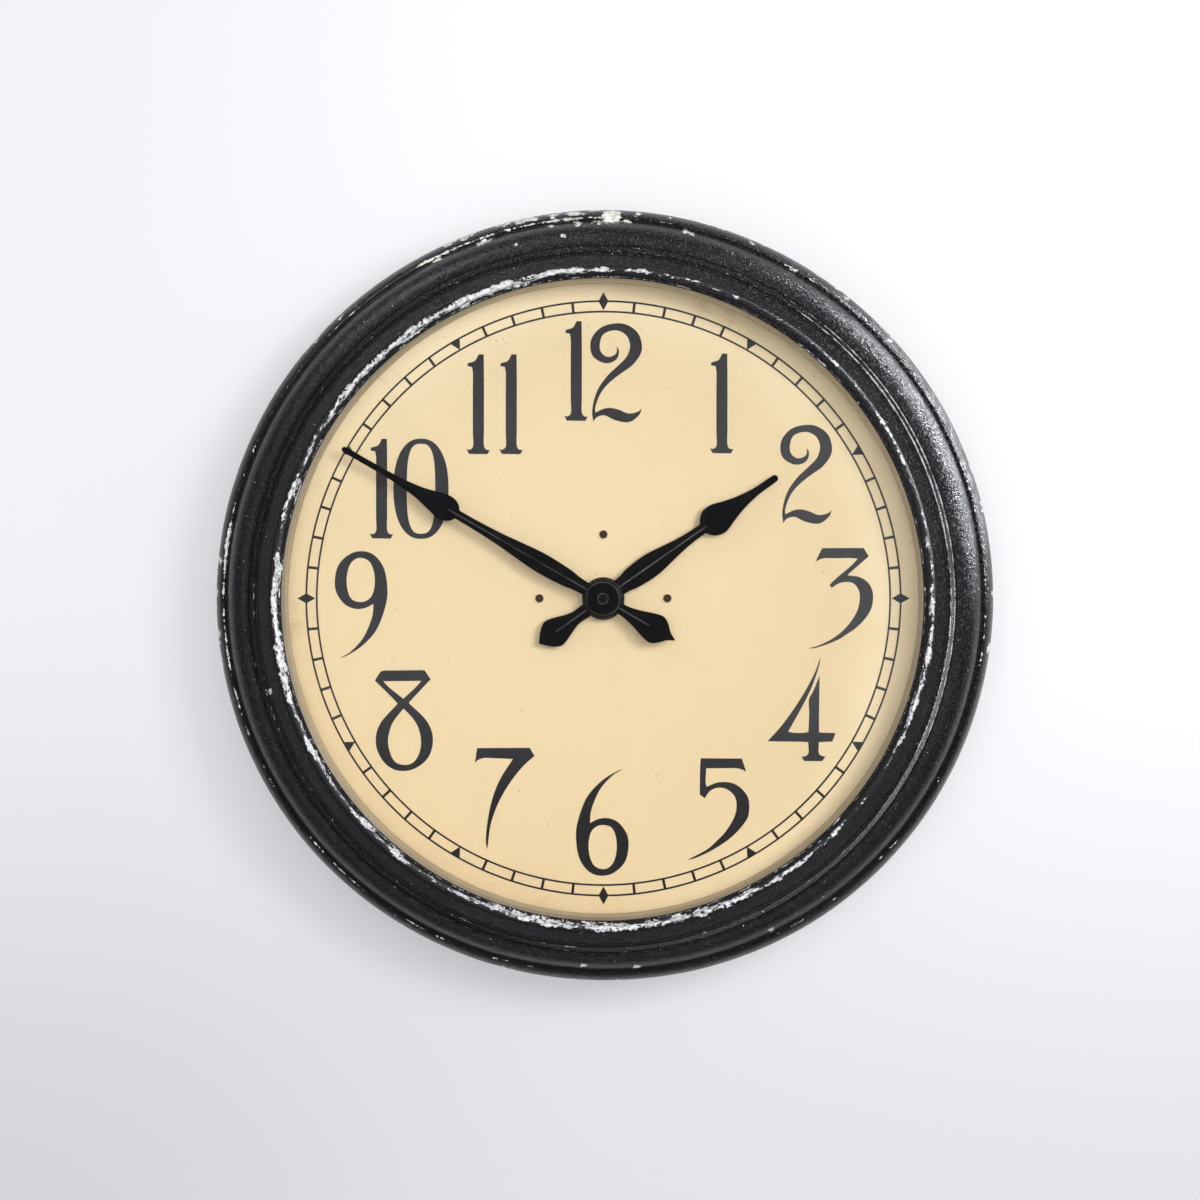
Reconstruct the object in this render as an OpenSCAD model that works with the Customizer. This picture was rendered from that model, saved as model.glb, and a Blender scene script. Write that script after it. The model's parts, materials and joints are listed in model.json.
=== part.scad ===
// Electric impulse wall clock with an 18 inch dial, hinged moulded bezel and steel drum.
// Each piece is drawn face up: x right, y up, z forward from the wall. face() then hangs it
// on the wall, with the wall behind it at y = 0 and the hands turning about the y axis.

/* [Drum] */
// Width of the drum outside the visible opening
case_out = 21.4; // [19:0.1:23]
// Thickness of the drum sheet
case_wall = 1.5; // [1:0.1:2]
// Depth from the wall to the front of the drum flange
case_depth = 58.5; // [56:0.5:62]
// Width of the turned-out flange
flange_w = 6.5; // [4:0.5:6.5]
// Radius of the bend between the back and the side
case_bend = 5; // [3:0.5:8]

/* [Hanging] */
// Distance of the keyhole entry from the top of the drum
keyhole_in = 74; // [62:1:90]
// Radius of the keyhole entry
keyhole_r = 7; // [5.5:0.5:8]
// Width of the keyhole slot
slot_w = 6.5; // [5:0.5:8]
// Height of the slot above the keyhole entry
slot_rise = 18; // [14:1:22]
// Thickness of the hanger plate
hanger_t = 2.5; // [2:0.5:4]
// Distance of the steady holes from the sides of the drum
steady_in = 110; // [90:5:130]
// Radius of the steady holes
steady_r = 2.6; // [2:0.1:3.5]
// Height of the cable inlet above the wall
inlet_z = 25; // [20:1:40]
// Radius of the cable way through the grommet
inlet_r = 5; // [3:0.5:7]

/* [Bezel] */
// Radius of the visible opening
opening_r = 228.6; // [226:0.1:229.5]
// Width of the flat lip inside the bead
lip_w = 3.1; // [2.5:0.1:3.5]
// Radius of the inner bead
bead_r = 2.7; // [2.2:0.1:3]
// Width of the flat band outside the bead
flat_w = 7.9; // [7:0.1:8.5]
// Radius of the groove outside the flat band
groove_r = 1.3; // [0.8:0.1:1.4]
// Width of the raised fillet
fillet_w = 3.6; // [2.5:0.1:4]
// Width of the quirk outside the fillet
quirk_w = 1.2; // [0.8:0.1:1.5]
// Width of the large ovolo
ovolo_w = 19.6; // [19:0.1:21]
// Height of the large ovolo
ovolo_h = 18.4; // [15:0.1:20]
// Width of the notch at the worn arris
notch_w = 2; // [1.6:0.1:2.4]
// Width of the rounded outer band
band_w = 8; // [7:0.5:9]
// Height of the rounded outer band
band_h = 17.2; // [12:0.2:20]
// Thickness of the moulded shell
shell_t = 1.6; // [1.2:0.1:1.8]
// Distance of the rear edge behind the drum flange
rear_back = 17; // [14.5:0.5:18.5]
// Width of the turned-in rear edge
rear_edge_w = 8; // [6:0.5:9]

/* [Dial and glass] */
// Width of the dial edge that the bezel hides
dial_out = 13.4; // [11:0.1:15]
// Thickness of the dial
dial_t = 1.5; // [1:0.1:2]
// Height of the dial's back above the drum flange
dial_lift = 2; // [1:0.5:4]
// Radius of the centre hole in the dial
dial_hole_r = 9; // [8:0.5:10]
// Thickness of the glass
glass_t = 3; // [2:0.5:4]
// Length of the sight ring between dial and glass
sight_len = 36; // [32:0.5:40]
// Thickness of the sight ring sheet
sight_t = 1.2; // [0.8:0.1:1.5]

/* [Hinge and catch] */
// Distance of the hinge pin outside the drum
hinge_out = 15; // [14:0.5:15.5]
// Radius of the hinge pin
hinge_pin_r = 1.5; // [1.2:0.1:1.8]
// Radius of the hinge knuckles
knuckle_r = 3.5; // [3:0.1:3.8]
// Length of one hinge knuckle
knuckle_len = 10; // [8:0.5:12]
// Distance from the catch pivot to the keeper stud
hook_reach = 14; // [12.5:0.5:14.5]
// Angle from the stored hook to the hooked one
hook_swing = 60; // [50:1:75]

/* [Hands] */
// Thickness of the hand sheet
hand_t = 1.2; // [1:0.1:1.6]
// Height of the hour hand above the dial
hour_hand_lift = 9; // [8:0.5:10]
// Height of the minute hand above the hour hand
minute_hand_lift = 8; // [7:0.5:10]
// Radius of the hour hand's eye
hour_eye_r = 15.4; // [12:0.1:16]
// Radius of the minute hand's eye
minute_eye_r = 12.5; // [10:0.1:14]
// Radius of the pressed rib
rib_r = 0.9; // [0.6:0.1:1.1]
// Hour shown by the hands
hour_shown = 1; // [1:1:12]
// Minute shown by the hands
minute_shown = 50; // [0:1:59]

/* [Motion work] */
// Gear module
gear_m = 0.6; // [0.6:0.05:0.65]
// Backlash taken off each tooth
backlash = 0.1; // [0.06:0.01:0.14]
// Radius of the centre arbor in front of the front plate
arbor_r = 2; // [1.6:0.1:2.2]
// Outer radius of the cannon pipe
cannon_r = 4; // [3.6:0.1:4.2]
// Outer radius of the hour pipe
hour_pipe_r = 6; // [5.6:0.1:6.4]
// Thickness of the motion work wheels
wheel_t = 2; // [1.5:0.1:2.2]

/* [Movement] */
// Half the width of the movement plates
plate_half_w = 58; // [56:1:64]
// Height of the plates above the centre
plate_top = 56; // [54:1:62]
// Depth of the plates below the centre
plate_low = 80; // [79:1:90]
// Thickness of the plates
plate_t = 2.5; // [2:0.1:3]
// Gap between the plates
plate_gap = 23.5; // [23.5:0.5:28]
// Length of the feet between dial and front plate
foot_len = 8; // [8:0.5:10]
// Distance of the three dial screws from the centre
screw_ring_r = 46.5; // [44:0.5:48]
// Tip radius of the ratchet wheel
ratchet_r = 24; // [22:0.5:24.5]
// Number of ratchet teeth
ratchet_teeth = 60; // [50:1:72]
// Thickness of the ratchet wheel
ratchet_t = 2.5; // [2:0.1:3]
// Radius of the coil windings
coil_r = 10; // [8:0.5:10.5]
// Distance of each coil from the middle
coil_x = 14; // [13:0.5:16]
// Stroke of the armature in degrees
armature_stroke = 3.5; // [2.5:0.1:4]

/* [Hidden] */
$fn = 96;

// Radial play of a shaft in its hole, and of a part laid beside another
run_fit = 0.05;
side_play = 0.3;
cut_over = 1;
through = 12;

// Fixings: riveted ends, rivets and their heads, and slotted screws
stake_r = 1.5;
screw_r = 1.5;
screw_head_r = 3.2;
screw_head_h = 1.7;
hanger_rivet_r = 2;
hanger_rivet_head_r = 3.6;
hanger_rivet_x = 27;
hanger_rivet_low = 12;
hanger_rivet_high = 26;
hinge_rivet_head_r = 2.6;
bezel_rivet_r = 1.2;
bezel_rivet_head_r = 2.2;

// Sizes that follow the visible opening
case_r = opening_r + case_out;
dial_r = opening_r + dial_out;
keyhole_y = case_r - keyhole_in;
steady_xy = case_r - steady_in;
hand_scale = opening_r / 228.6;

// Depths along z, from the wall forward
bezel_back = case_depth - rear_back;
dial_back = case_depth + dial_lift;
dial_front = dial_back + dial_t;
sight_gap = 2;
sight_back = dial_front + sight_gap;
glass_back = sight_back + sight_len;
glass_front = glass_back + glass_t;
front_plate_z = dial_back - foot_len - plate_t;
back_plate_z = front_plate_z - plate_gap - plate_t;
plate_mid_z = front_plate_z - plate_gap / 2;
hour_hand_z = dial_front + hour_hand_lift;
minute_hand_z = hour_hand_z + minute_hand_lift;

// Bezel section: radii from the opening outwards
bead_mid_r = opening_r + lip_w + bead_r;
flat_in_r = bead_mid_r + bead_r;
flat_out_r = flat_in_r + flat_w;
fillet_in_r = flat_out_r + 2 * groove_r;
fillet_out_r = fillet_in_r + fillet_w;
ovolo_in_r = fillet_out_r + quirk_w;
ovolo_out_r = ovolo_in_r + ovolo_w;
arris_r = ovolo_out_r + notch_w;
outer_r = arris_r + band_w;

// Bezel section: heights above the glass
lip_t = 1.2;
bead_lift = 2.4;
flat_lift = 1.4;
flat_fall = 0.8;
fillet_lift = 2.2;
quirk_lift = 1.2;
crest_lift = 3.4;
ovolo_lead = 2.1;
notch_depth = 1.4;
arris_lift = 1.2;
band_lead = 2;
rear_bend = 2.5;
rebate_depth = 2;
glass_play = 0.6;
rebate_r = bead_mid_r + 2.2;
glass_r = rebate_r - glass_play;
ovolo_mid_r = ovolo_in_r + ovolo_lead;
ovolo_semi = ovolo_out_r - ovolo_mid_r;
crest_z = glass_front + crest_lift;
ovolo_z = crest_z - ovolo_h;
notch_z = ovolo_z - notch_depth;
arris_z = ovolo_z + arris_lift;
band_mid_r = arris_r - band_lead;
band_semi = outer_r - band_mid_r;
band_start = acos(band_lead / band_semi);
band_rise = band_h / sin(band_start);
band_z = arris_z - band_h;
ring_r = ovolo_out_r - shell_t - 0.2;

// Hinge at three o'clock and catch at nine o'clock
hinge_x = case_r + hinge_out;
hinge_z = bezel_back - 0.5;
hinge_leaf_t = 1.5;
knuckle_play = 0.3;
hook_t = 1.5;
hook_x = case_r + flange_w + 1.7;
hook_z = case_depth - 20.5;
stud_z = hook_z + hook_reach;
stud_r = 1.8;
hook_hole_r = 2;

// Angles of the hands, clockwise from twelve
minute_angle = minute_shown * 6;
hour_angle = hour_shown * 30 + minute_shown / 2;

// Motion work: tooth counts and centre distance
cannon_teeth = 20;
large_teeth = 60;
pinion_teeth = 16;
hour_teeth = 64;
gear_centres = gear_m * (cannon_teeth + large_teeth) / 2;
motion_z = front_plate_z + plate_t;
cannon_z = motion_z + 0.5;
cannon_face = wheel_t + 0.8;
large_z = cannon_z + 0.4;
hour_wheel_z = cannon_z + cannon_face + 0.6;
pinion_z = large_z + wheel_t;
pinion_face = hour_wheel_z + wheel_t + 0.8 - pinion_z;
hour_pipe_end = hour_hand_z + hand_t + 2;
cannon_end = minute_hand_z + hand_t + 1.6;
stud_pin_r = 2;

// Electromagnet below the wheel
pole_y = -ratchet_r - 8;
armature_gap = 0.3;
armature_h = 4;
armature_w = 14;
pivot_x = 36;
pivot_y = pole_y + armature_gap + armature_h / 2;
coil_len = 34;
bobbin_flange = 1.5;
core_r = 4;
bobbin_r = coil_r + 0.8;
yoke_h = 5;
core_len = coil_len + 6;
yoke_y = pole_y - core_len - yoke_h;
pawl_pin_r = 1.2;
pawl_pin_x = -31;
pawl_pin_lift = 6.7;
pawl_clear = 0.3;
pawl_tip_angle = 177;
stop_post = [-27, 27];
stop_tip_angle = 100;
tail_x = 10;
spring_post_y = -63;
pillar_spots = [for (x = [-1, 1], y = [plate_top - 8, -plate_low + 8]) [x * (plate_half_w - 8), y]];
foot_spots = [[0, screw_ring_r], [-screw_ring_r, 0], [screw_ring_r, 0]];
ratchet_z = plate_mid_z - ratchet_t / 2;

// Terminal block on the drum's back
terminal_y = -125;
terminal_size = [52, 20, 14];
terminal_x = 13;

// Points of an elliptical arc in the section plane
function arc(mid, a, b, from, to, steps) =
    [for (i = [0:steps]) let (t = from + (to - from) * i / steps)
        [mid[0] + a * cos(t), mid[1] + b * sin(t)]];

// Smooth curve through stations, with a number of steps between each pair
function blend(p, q, r, s, t) =
    0.5 * (2 * q + (r - p) * t + (2 * p - 5 * q + 4 * r - s) * t * t
           + (3 * q - p - 3 * r + s) * t * t * t);
function smooth(pts, steps) =
    concat([for (i = [0:len(pts) - 2], k = [0:steps - 1])
               blend(pts[max(i - 1, 0)], pts[i], pts[i + 1], pts[min(i + 2, len(pts) - 1)],
                     k / steps)],
           [pts[len(pts) - 1]]);
function mirrored(pts) = [for (i = [len(pts) - 1:-1:0]) [-pts[i][0], pts[i][1]]];

// Involute gear outline with a tooth centred on the x axis
pressure = 20;
addendum = 0.92;
dedendum = 1.3;
flank_steps = 3;
function involute(angle) = tan(angle) * 180 / PI - angle;
function half_tooth(teeth, r) =
    let (pitch_r = gear_m * teeth / 2, base_r = pitch_r * cos(pressure))
    90 / teeth - backlash / 2 / pitch_r * 180 / PI + involute(pressure)
    - involute(acos(min(1, base_r / r)));
function flank(teeth) =
    let (pitch_r = gear_m * teeth / 2, base_r = pitch_r * cos(pressure),
         root_r = pitch_r - dedendum * gear_m, tip_r = pitch_r + addendum * gear_m,
         start_r = max(base_r, root_r))
    concat([[root_r, half_tooth(teeth, start_r)]],
           [for (i = [0:flank_steps]) let (r = start_r + (tip_r - start_r) * i / flank_steps)
               [r, half_tooth(teeth, r)]]);
function gear_outline(teeth) =
    let (side = flank(teeth), n = len(side))
    [for (k = [0:teeth - 1]) each concat(
        [for (i = [0:n - 1]) let (a = k * 360 / teeth - side[i][1])
            side[i][0] * [cos(a), sin(a)]],
        [for (i = [n - 1:-1:0]) let (a = k * 360 / teeth + side[i][1])
            side[i][0] * [cos(a), sin(a)]])];

// Ratchet outline: steep face towards the pawl, long back to the next tooth
ratchet_depth = 1.7;
function ratchet_outline() =
    [for (k = [0:ratchet_teeth - 1]) let (a = k * 360 / ratchet_teeth, step = 360 / ratchet_teeth)
        each [(ratchet_r - ratchet_depth) * [cos(a), sin(a)],
              ratchet_r * [cos(a + step * 0.12), sin(a + step * 0.12)],
              ratchet_r * [cos(a + step * 0.24), sin(a + step * 0.24)]]];

// Tube swept along a path, closed at both ends
function unit(v) = v / norm(v);
function heading(path, i) =
    unit(path[min(i + 1, len(path) - 1)] - path[max(i - 1, 0)]);
function tube_ring(mid, dir, r, sides, up) =
    let (n = unit(cross(dir, up)), b = cross(dir, n))
    [for (k = [0:sides - 1]) let (t = 360 * k / sides) mid + r * (n * cos(t) + b * sin(t))];
module tube(path, r, sides, up) {
    rings = len(path);
    points = [for (i = [0:rings - 1]) each tube_ring(path[i], heading(path, i), r, sides, up)];
    walls = [for (i = [0:rings - 2], k = [0:sides - 1])
        let (a = i * sides + k, b = i * sides + (k + 1) % sides)
        each [[a, a + sides, b], [b, a + sides, b + sides]]];
    start_cap = [for (k = [0:sides - 1]) k];
    end_cap = [for (k = [sides - 1:-1:0]) (rings - 1) * sides + k];
    polyhedron(points = points, faces = concat(walls, [start_cap, end_cap]), convexity = 6);
}

module face() {
    rotate([90, 0, 0]) children();
}
module at(spot, z) {
    translate([spot[0], spot[1], z]) children();
}
// A child drawn along z is turned to run along y or along x
module along_y(x, y, z) {
    translate([x, y, z]) rotate([-90, 0, 0]) children();
}
module along_x(x, y, z) {
    translate([x, y, z]) rotate([0, 90, 0]) children();
}
module bored_disc(r, hole_r, h) {
    difference() {
        cylinder(r = r, h = h);
        translate([0, 0, -cut_over]) cylinder(r = hole_r, h = h + 2 * cut_over);
    }
}
module rounded_plate(x0, x1, y0, y1, t, r) {
    translate([x0 + r, y0, 0]) cube([x1 - x0 - 2 * r, y1 - y0, t]);
    translate([x0, y0 + r, 0]) cube([x1 - x0, y1 - y0 - 2 * r, t]);
    for (x = [x0 + r, x1 - r], y = [y0 + r, y1 - r]) at([x, y], 0) cylinder(r = r, h = t);
}
// Slotted cheese-head screw pointing down, with its head from z = 0 upwards
module slotted_screw(head_r, head_h, shank_r, shank_len, slot = 0.8) {
    difference() {
        cylinder(r = head_r, h = head_h);
        translate([-head_r - cut_over, -slot / 2, head_h / 2])
            cube([2 * head_r + 2 * cut_over, slot, head_h]);
    }
    translate([0, 0, -shank_len]) cylinder(r = shank_r, h = shank_len);
}
// Domed rivet pointing down, with its head from z = 0 upwards
module rivet(head_r, shank_r, shank_len) {
    intersection() {
        translate([0, 0, -head_r * 0.5]) sphere(r = head_r * 1.118);
        cylinder(r = head_r, h = head_r);
    }
    translate([0, 0, -shank_len]) cylinder(r = shank_r, h = shank_len);
}
// Openings between the spokes of a wheel
module crossings(rim_r, hub_r, spoke_w, spokes, h) {
    difference() {
        cylinder(r = rim_r, h = h);
        cylinder(r = hub_r, h = h);
        for (i = [0:spokes - 1])
            rotate(i * 360 / spokes) translate([0, -spoke_w / 2, 0]) cube([rim_r * 2, spoke_w, h]);
    }
}

// Drum: a flat back welded inside a rolled side, with a flange ring welded on in front
hanger_rivet_spots = [for (x = [-hanger_rivet_x, hanger_rivet_x],
                           y = [-hanger_rivet_low, hanger_rivet_high]) [x, keyhole_y + y]];
// The back is cut away behind the hanger plate, which alone takes the screw
hanger_window_edge = 9;
hanger_window_gap = 4;
module hanger_window(h) {
    half_w = hanger_rivet_x - hanger_window_edge;
    low = keyhole_y - keyhole_r - hanger_window_gap;
    high = keyhole_y + slot_rise + slot_w / 2 + hanger_window_gap;
    translate([-half_w, low, -cut_over]) cube([2 * half_w, high - low, h]);
}
post_edge = 5.5;
post_spots = [for (a = [45, 135, 225, 315]) (dial_r - post_edge) * [cos(a), sin(a)]];
grommet_wall = 3;
grommet_groove_r = inlet_r + grommet_wall;
hinge_plate_low = 9;
hinge_plate_high = 7;
hinge_rivet_spots = [for (y = [-1, 1], z = [-6.3, 4.2]) [y * knuckle_len * 1.9, z]];
module hinge_rivet_places() {
    for (p = hinge_rivet_spots)
        rotate([0, 0, asin(p[0] / case_r)]) along_x(case_r, 0, hinge_z + p[1]) children();
}
module hinge_rivet_holes() {
    hinge_rivet_places()
        translate([0, 0, -through / 2]) cylinder(r = stake_r + run_fit, h = through);
}
weld_r = case_r - case_bend;
module case_back() {
    color([0.10, 0.10, 0.11]) face() difference() {
        cylinder(r = weld_r, h = case_wall);
        hanger_window(case_wall + 2 * cut_over);
        for (p = hanger_rivet_spots)
            at(p, -cut_over) cylinder(r = hanger_rivet_r + run_fit, h = through);
        for (x = [-steady_xy, steady_xy])
            at([x, -steady_xy], -cut_over) cylinder(r = steady_r, h = through);
    }
}
module case_side() {
    inner_bend = case_bend - case_wall;
    section = concat(
        arc([weld_r, case_bend], case_bend, case_bend, 270, 360, 5),
        [[case_r, case_depth - case_wall], [case_r - case_wall, case_depth - case_wall]],
        arc([weld_r, case_bend], inner_bend, inner_bend, 360, 270, 5));
    color([0.10, 0.10, 0.11]) face() difference() {
        rotate_extrude() polygon(section);
        along_y(0, -case_r - through / 2, inlet_z)
            cylinder(r = grommet_groove_r + run_fit, h = through);
        hinge_rivet_holes();
        along_x(-case_r - through / 2, 0, hook_z) cylinder(r = stake_r + run_fit, h = through);
    }
}
module case_flange() {
    color([0.10, 0.10, 0.11]) face() translate([0, 0, case_depth - case_wall])
        bored_disc(case_r + flange_w, case_r - case_wall, case_wall);
}

hanger_edge = 8;
module hanger_plate() {
    color([0.45, 0.46, 0.48]) face() difference() {
        translate([0, 0, case_wall])
            rounded_plate(-hanger_rivet_x - hanger_edge, hanger_rivet_x + hanger_edge,
                          keyhole_y - hanger_rivet_low - hanger_edge,
                          keyhole_y + hanger_rivet_high + hanger_edge, hanger_t, 5);
        at([0, keyhole_y], 0) {
            cylinder(r = keyhole_r, h = through);
            translate([-slot_w / 2, 0, 0]) cube([slot_w, slot_rise, through]);
            translate([0, slot_rise, 0]) cylinder(r = slot_w / 2, h = through);
        }
        for (p = hanger_rivet_spots) at(p, 0) cylinder(r = hanger_rivet_r + run_fit, h = through);
    }
}
module hanger_rivets() {
    color([0.55, 0.55, 0.56]) face()
        for (p = hanger_rivet_spots)
            at(p, case_wall + hanger_t)
                rivet(hanger_rivet_head_r, hanger_rivet_r, case_wall + hanger_t);
}

module cable_grommet() {
    lip = 3;
    rim_r = grommet_groove_r + grommet_wall;
    groove = case_wall + 2 * side_play;
    section = [[inlet_r, 0], [rim_r - 1, 0], [rim_r, 1],
               [rim_r, lip - 0.5], [grommet_groove_r, lip],
               [grommet_groove_r, lip + groove], [rim_r, lip + groove + 0.5],
               [rim_r, 2 * lip + groove], [inlet_r, 2 * lip + groove]];
    color([0.14, 0.13, 0.13]) face()
        along_y(0, -case_r - lip - side_play, inlet_z) rotate_extrude() polygon(section);
}

// Dial on four posts, held by edge screws that the sight ring hides
post_r = 4;
tap_depth = 8;
bite = 5.5;
module dial_posts() {
    color([0.6, 0.6, 0.58]) face()
        for (p = post_spots) at(p, case_wall)
            difference() {
                cylinder(r = post_r, h = dial_back - case_wall);
                translate([0, 0, dial_back - case_wall - tap_depth])
                    cylinder(r = screw_r + run_fit, h = tap_depth + cut_over);
            }
}
module dial() {
    color([0.96, 0.88, 0.72]) face() translate([0, 0, dial_back]) difference() {
        cylinder(r = dial_r, h = dial_t);
        translate([0, 0, -cut_over]) {
            cylinder(r = dial_hole_r, h = dial_t + 2 * cut_over);
            for (p = concat(post_spots, foot_spots))
                at(p, 0) cylinder(r = screw_r + 0.1, h = dial_t + 2 * cut_over);
        }
    }
}
module dial_edge_screws() {
    color([0.42, 0.33, 0.24]) face()
        for (p = post_spots)
            at(p, dial_front)
                slotted_screw(screw_head_r, screw_head_h, screw_r, dial_t + bite);
}

// Moulded bezel: one spun shell, with a rebate behind the bead for the glass
module bezel() {
    front = concat(
        [[opening_r, glass_front], [opening_r, glass_front + lip_t],
         [bead_mid_r - bead_r, glass_front + lip_t]],
        arc([bead_mid_r, glass_front + bead_lift], bead_r, bead_r, 200, -20, 14),
        [[flat_in_r, glass_front + flat_lift],
         [flat_out_r, glass_front + flat_lift - flat_fall]],
        arc([flat_out_r + groove_r, glass_front + flat_lift - flat_fall],
            groove_r, groove_r, 190, 350, 8),
        [[fillet_in_r, glass_front + flat_lift - flat_fall],
         [fillet_in_r, glass_front + fillet_lift - 0.3],
         [fillet_in_r + 0.3, glass_front + fillet_lift],
         [fillet_out_r - 0.3, glass_front + fillet_lift + 0.3],
         [fillet_out_r, glass_front + fillet_lift],
         [fillet_out_r, glass_front + quirk_lift], [ovolo_in_r, glass_front + quirk_lift]],
        arc([ovolo_mid_r, ovolo_z], ovolo_semi, ovolo_h,
            acos(-ovolo_lead / ovolo_semi), 0, 18),
        [[ovolo_out_r, notch_z], [ovolo_out_r + notch_w * 0.6, notch_z]],
        arc([band_mid_r, band_z], band_semi, band_rise, band_start, 0, 12),
        arc([outer_r - rear_bend, bezel_back + rear_bend], rear_bend, rear_bend, 0, -90, 4),
        [[outer_r - rear_edge_w, bezel_back]]);
    inner_stop = asin(min(1, (notch_z - shell_t - band_z) / (band_rise - shell_t)));
    back = concat(
        [[outer_r - rear_edge_w, bezel_back + shell_t],
         [outer_r - rear_bend, bezel_back + shell_t],
         [outer_r - shell_t, bezel_back + rear_bend + 0.5]],
        arc([band_mid_r, band_z], band_semi - shell_t, band_rise - shell_t, 0, inner_stop, 8),
        [[ovolo_out_r - shell_t, notch_z - shell_t]],
        arc([ovolo_mid_r, ovolo_z], ovolo_semi - shell_t, ovolo_h - shell_t, 0, 90, 12),
        [[ovolo_in_r - 0.3, glass_front - rebate_depth], [rebate_r, glass_front - rebate_depth],
         [rebate_r, glass_front]]);
    color([0.07, 0.07, 0.08]) face() rotate_extrude() polygon(concat(front, back));
}
ring_t = 1.5;
ring_in_r = case_r + 1.5;
module bezel_backing_ring() {
    color([0.12, 0.12, 0.13]) face() difference() {
        rotate_extrude()
            polygon([[ring_in_r, case_depth], [ring_r, case_depth], [ring_r, ovolo_z],
                     [ring_r - ring_t, ovolo_z], [ring_r - ring_t, case_depth + ring_t],
                     [ring_in_r, case_depth + ring_t]]);
        for (p = bezel_rivet_spots)
            at(p, case_depth - cut_over)
                cylinder(r = bezel_rivet_r + run_fit, h = ring_t + 2 * cut_over);
    }
}
module glass() {
    color([0.85, 0.92, 0.92, 0.3]) face()
        translate([0, 0, glass_back]) cylinder(r = glass_r, h = glass_t);
}
// The clips press this flange against the glass
sight_r = opening_r + 0.4;
sight_flange_t = 1.5;
module sight_ring() {
    color([0.80, 0.76, 0.68]) face() rotate_extrude()
        polygon([[sight_r, sight_back], [sight_r + sight_t, sight_back],
                 [sight_r + sight_t, glass_back - sight_flange_t],
                 [glass_r - 0.2, glass_back - sight_flange_t], [glass_r - 0.2, glass_back],
                 [sight_r, glass_back]]);
}
clip_angles = [for (i = [0:7]) 22.5 + i * 45];
clip_w = 9;
clip_t = 1.2;
module glass_clips() {
    foot_z = glass_back - sight_flange_t - clip_t;
    under_z = glass_front - rebate_depth;
    leg_r = rebate_r + 1;
    color([0.70, 0.62, 0.38]) face()
        for (a = clip_angles) rotate(a) translate([0, clip_w / 2, 0]) rotate([90, 0, 0])
            linear_extrude(clip_w)
                polygon([[sight_r + sight_t + 1.5, foot_z], [leg_r + clip_t, foot_z],
                         [leg_r + clip_t, under_z - clip_t], [flat_out_r, under_z - clip_t],
                         [flat_out_r, under_z], [leg_r, under_z],
                         [leg_r, foot_z + clip_t], [sight_r + sight_t + 1.5, foot_z + clip_t]]);
}

// Hinge: three knuckles on the drum, two on the bezel, one loose pin
case_knuckles = [-2, 0, 2];
bezel_knuckles = [-1, 1];
module knuckle(i, play) {
    translate([hinge_x, i * knuckle_len - knuckle_len / 2 + play, hinge_z]) rotate([-90, 0, 0])
        children();
}
module drum_side() {
    translate([0, 0, hinge_z - hinge_plate_low - cut_over])
        cylinder(r = case_r, h = hinge_plate_low + hinge_plate_high + 2 * cut_over);
}
module hinge_case_leaf() {
    leaf_half = knuckle_len * 2.5;
    leaf_h = hinge_plate_low + hinge_plate_high;
    lug_t = 2;
    lug_in = 5;
    color([0.16, 0.16, 0.17]) face() difference() {
        union() {
            intersection() {
                difference() {
                    translate([0, 0, hinge_z - hinge_plate_low])
                        cylinder(r = case_r + hinge_leaf_t, h = leaf_h);
                    drum_side();
                }
                translate([case_r - lug_in, -leaf_half, hinge_z - hinge_plate_low])
                    cube([2 * lug_in, 2 * leaf_half, leaf_h]);
            }
            for (i = case_knuckles) {
                difference() {
                    translate([case_r - lug_in, (i - 0.5) * knuckle_len, hinge_z - knuckle_r])
                        cube([hinge_out + lug_in, knuckle_len, lug_t]);
                    drum_side();
                }
                knuckle(i, 0) cylinder(r = knuckle_r, h = knuckle_len);
            }
        }
        translate([hinge_x, -leaf_half - cut_over, hinge_z]) rotate([-90, 0, 0])
            cylinder(r = hinge_pin_r + run_fit, h = 2 * leaf_half + 2 * cut_over);
        hinge_rivet_holes();
    }
}
module hinge_case_rivets() {
    color([0.3, 0.3, 0.31]) face()
        hinge_rivet_places()
            translate([0, 0, hinge_leaf_t])
                rivet(hinge_rivet_head_r, stake_r, hinge_leaf_t + case_wall);
}
module hinge_pin() {
    leaf_half = knuckle_len * 2.5;
    pin_out = 1.5;
    head_h = 1.5;
    color([0.6, 0.6, 0.6]) face() along_y(hinge_x, -leaf_half - pin_out, hinge_z) {
        cylinder(r = hinge_pin_r, h = 2 * leaf_half + pin_out + head_h);
        translate([0, 0, 2 * leaf_half + pin_out]) cylinder(r = hinge_pin_r + 1, h = head_h);
    }
}
bezel_rivet_spots = [for (y = [-1, 1]) [hinge_x - 2, y * knuckle_len]];
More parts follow.
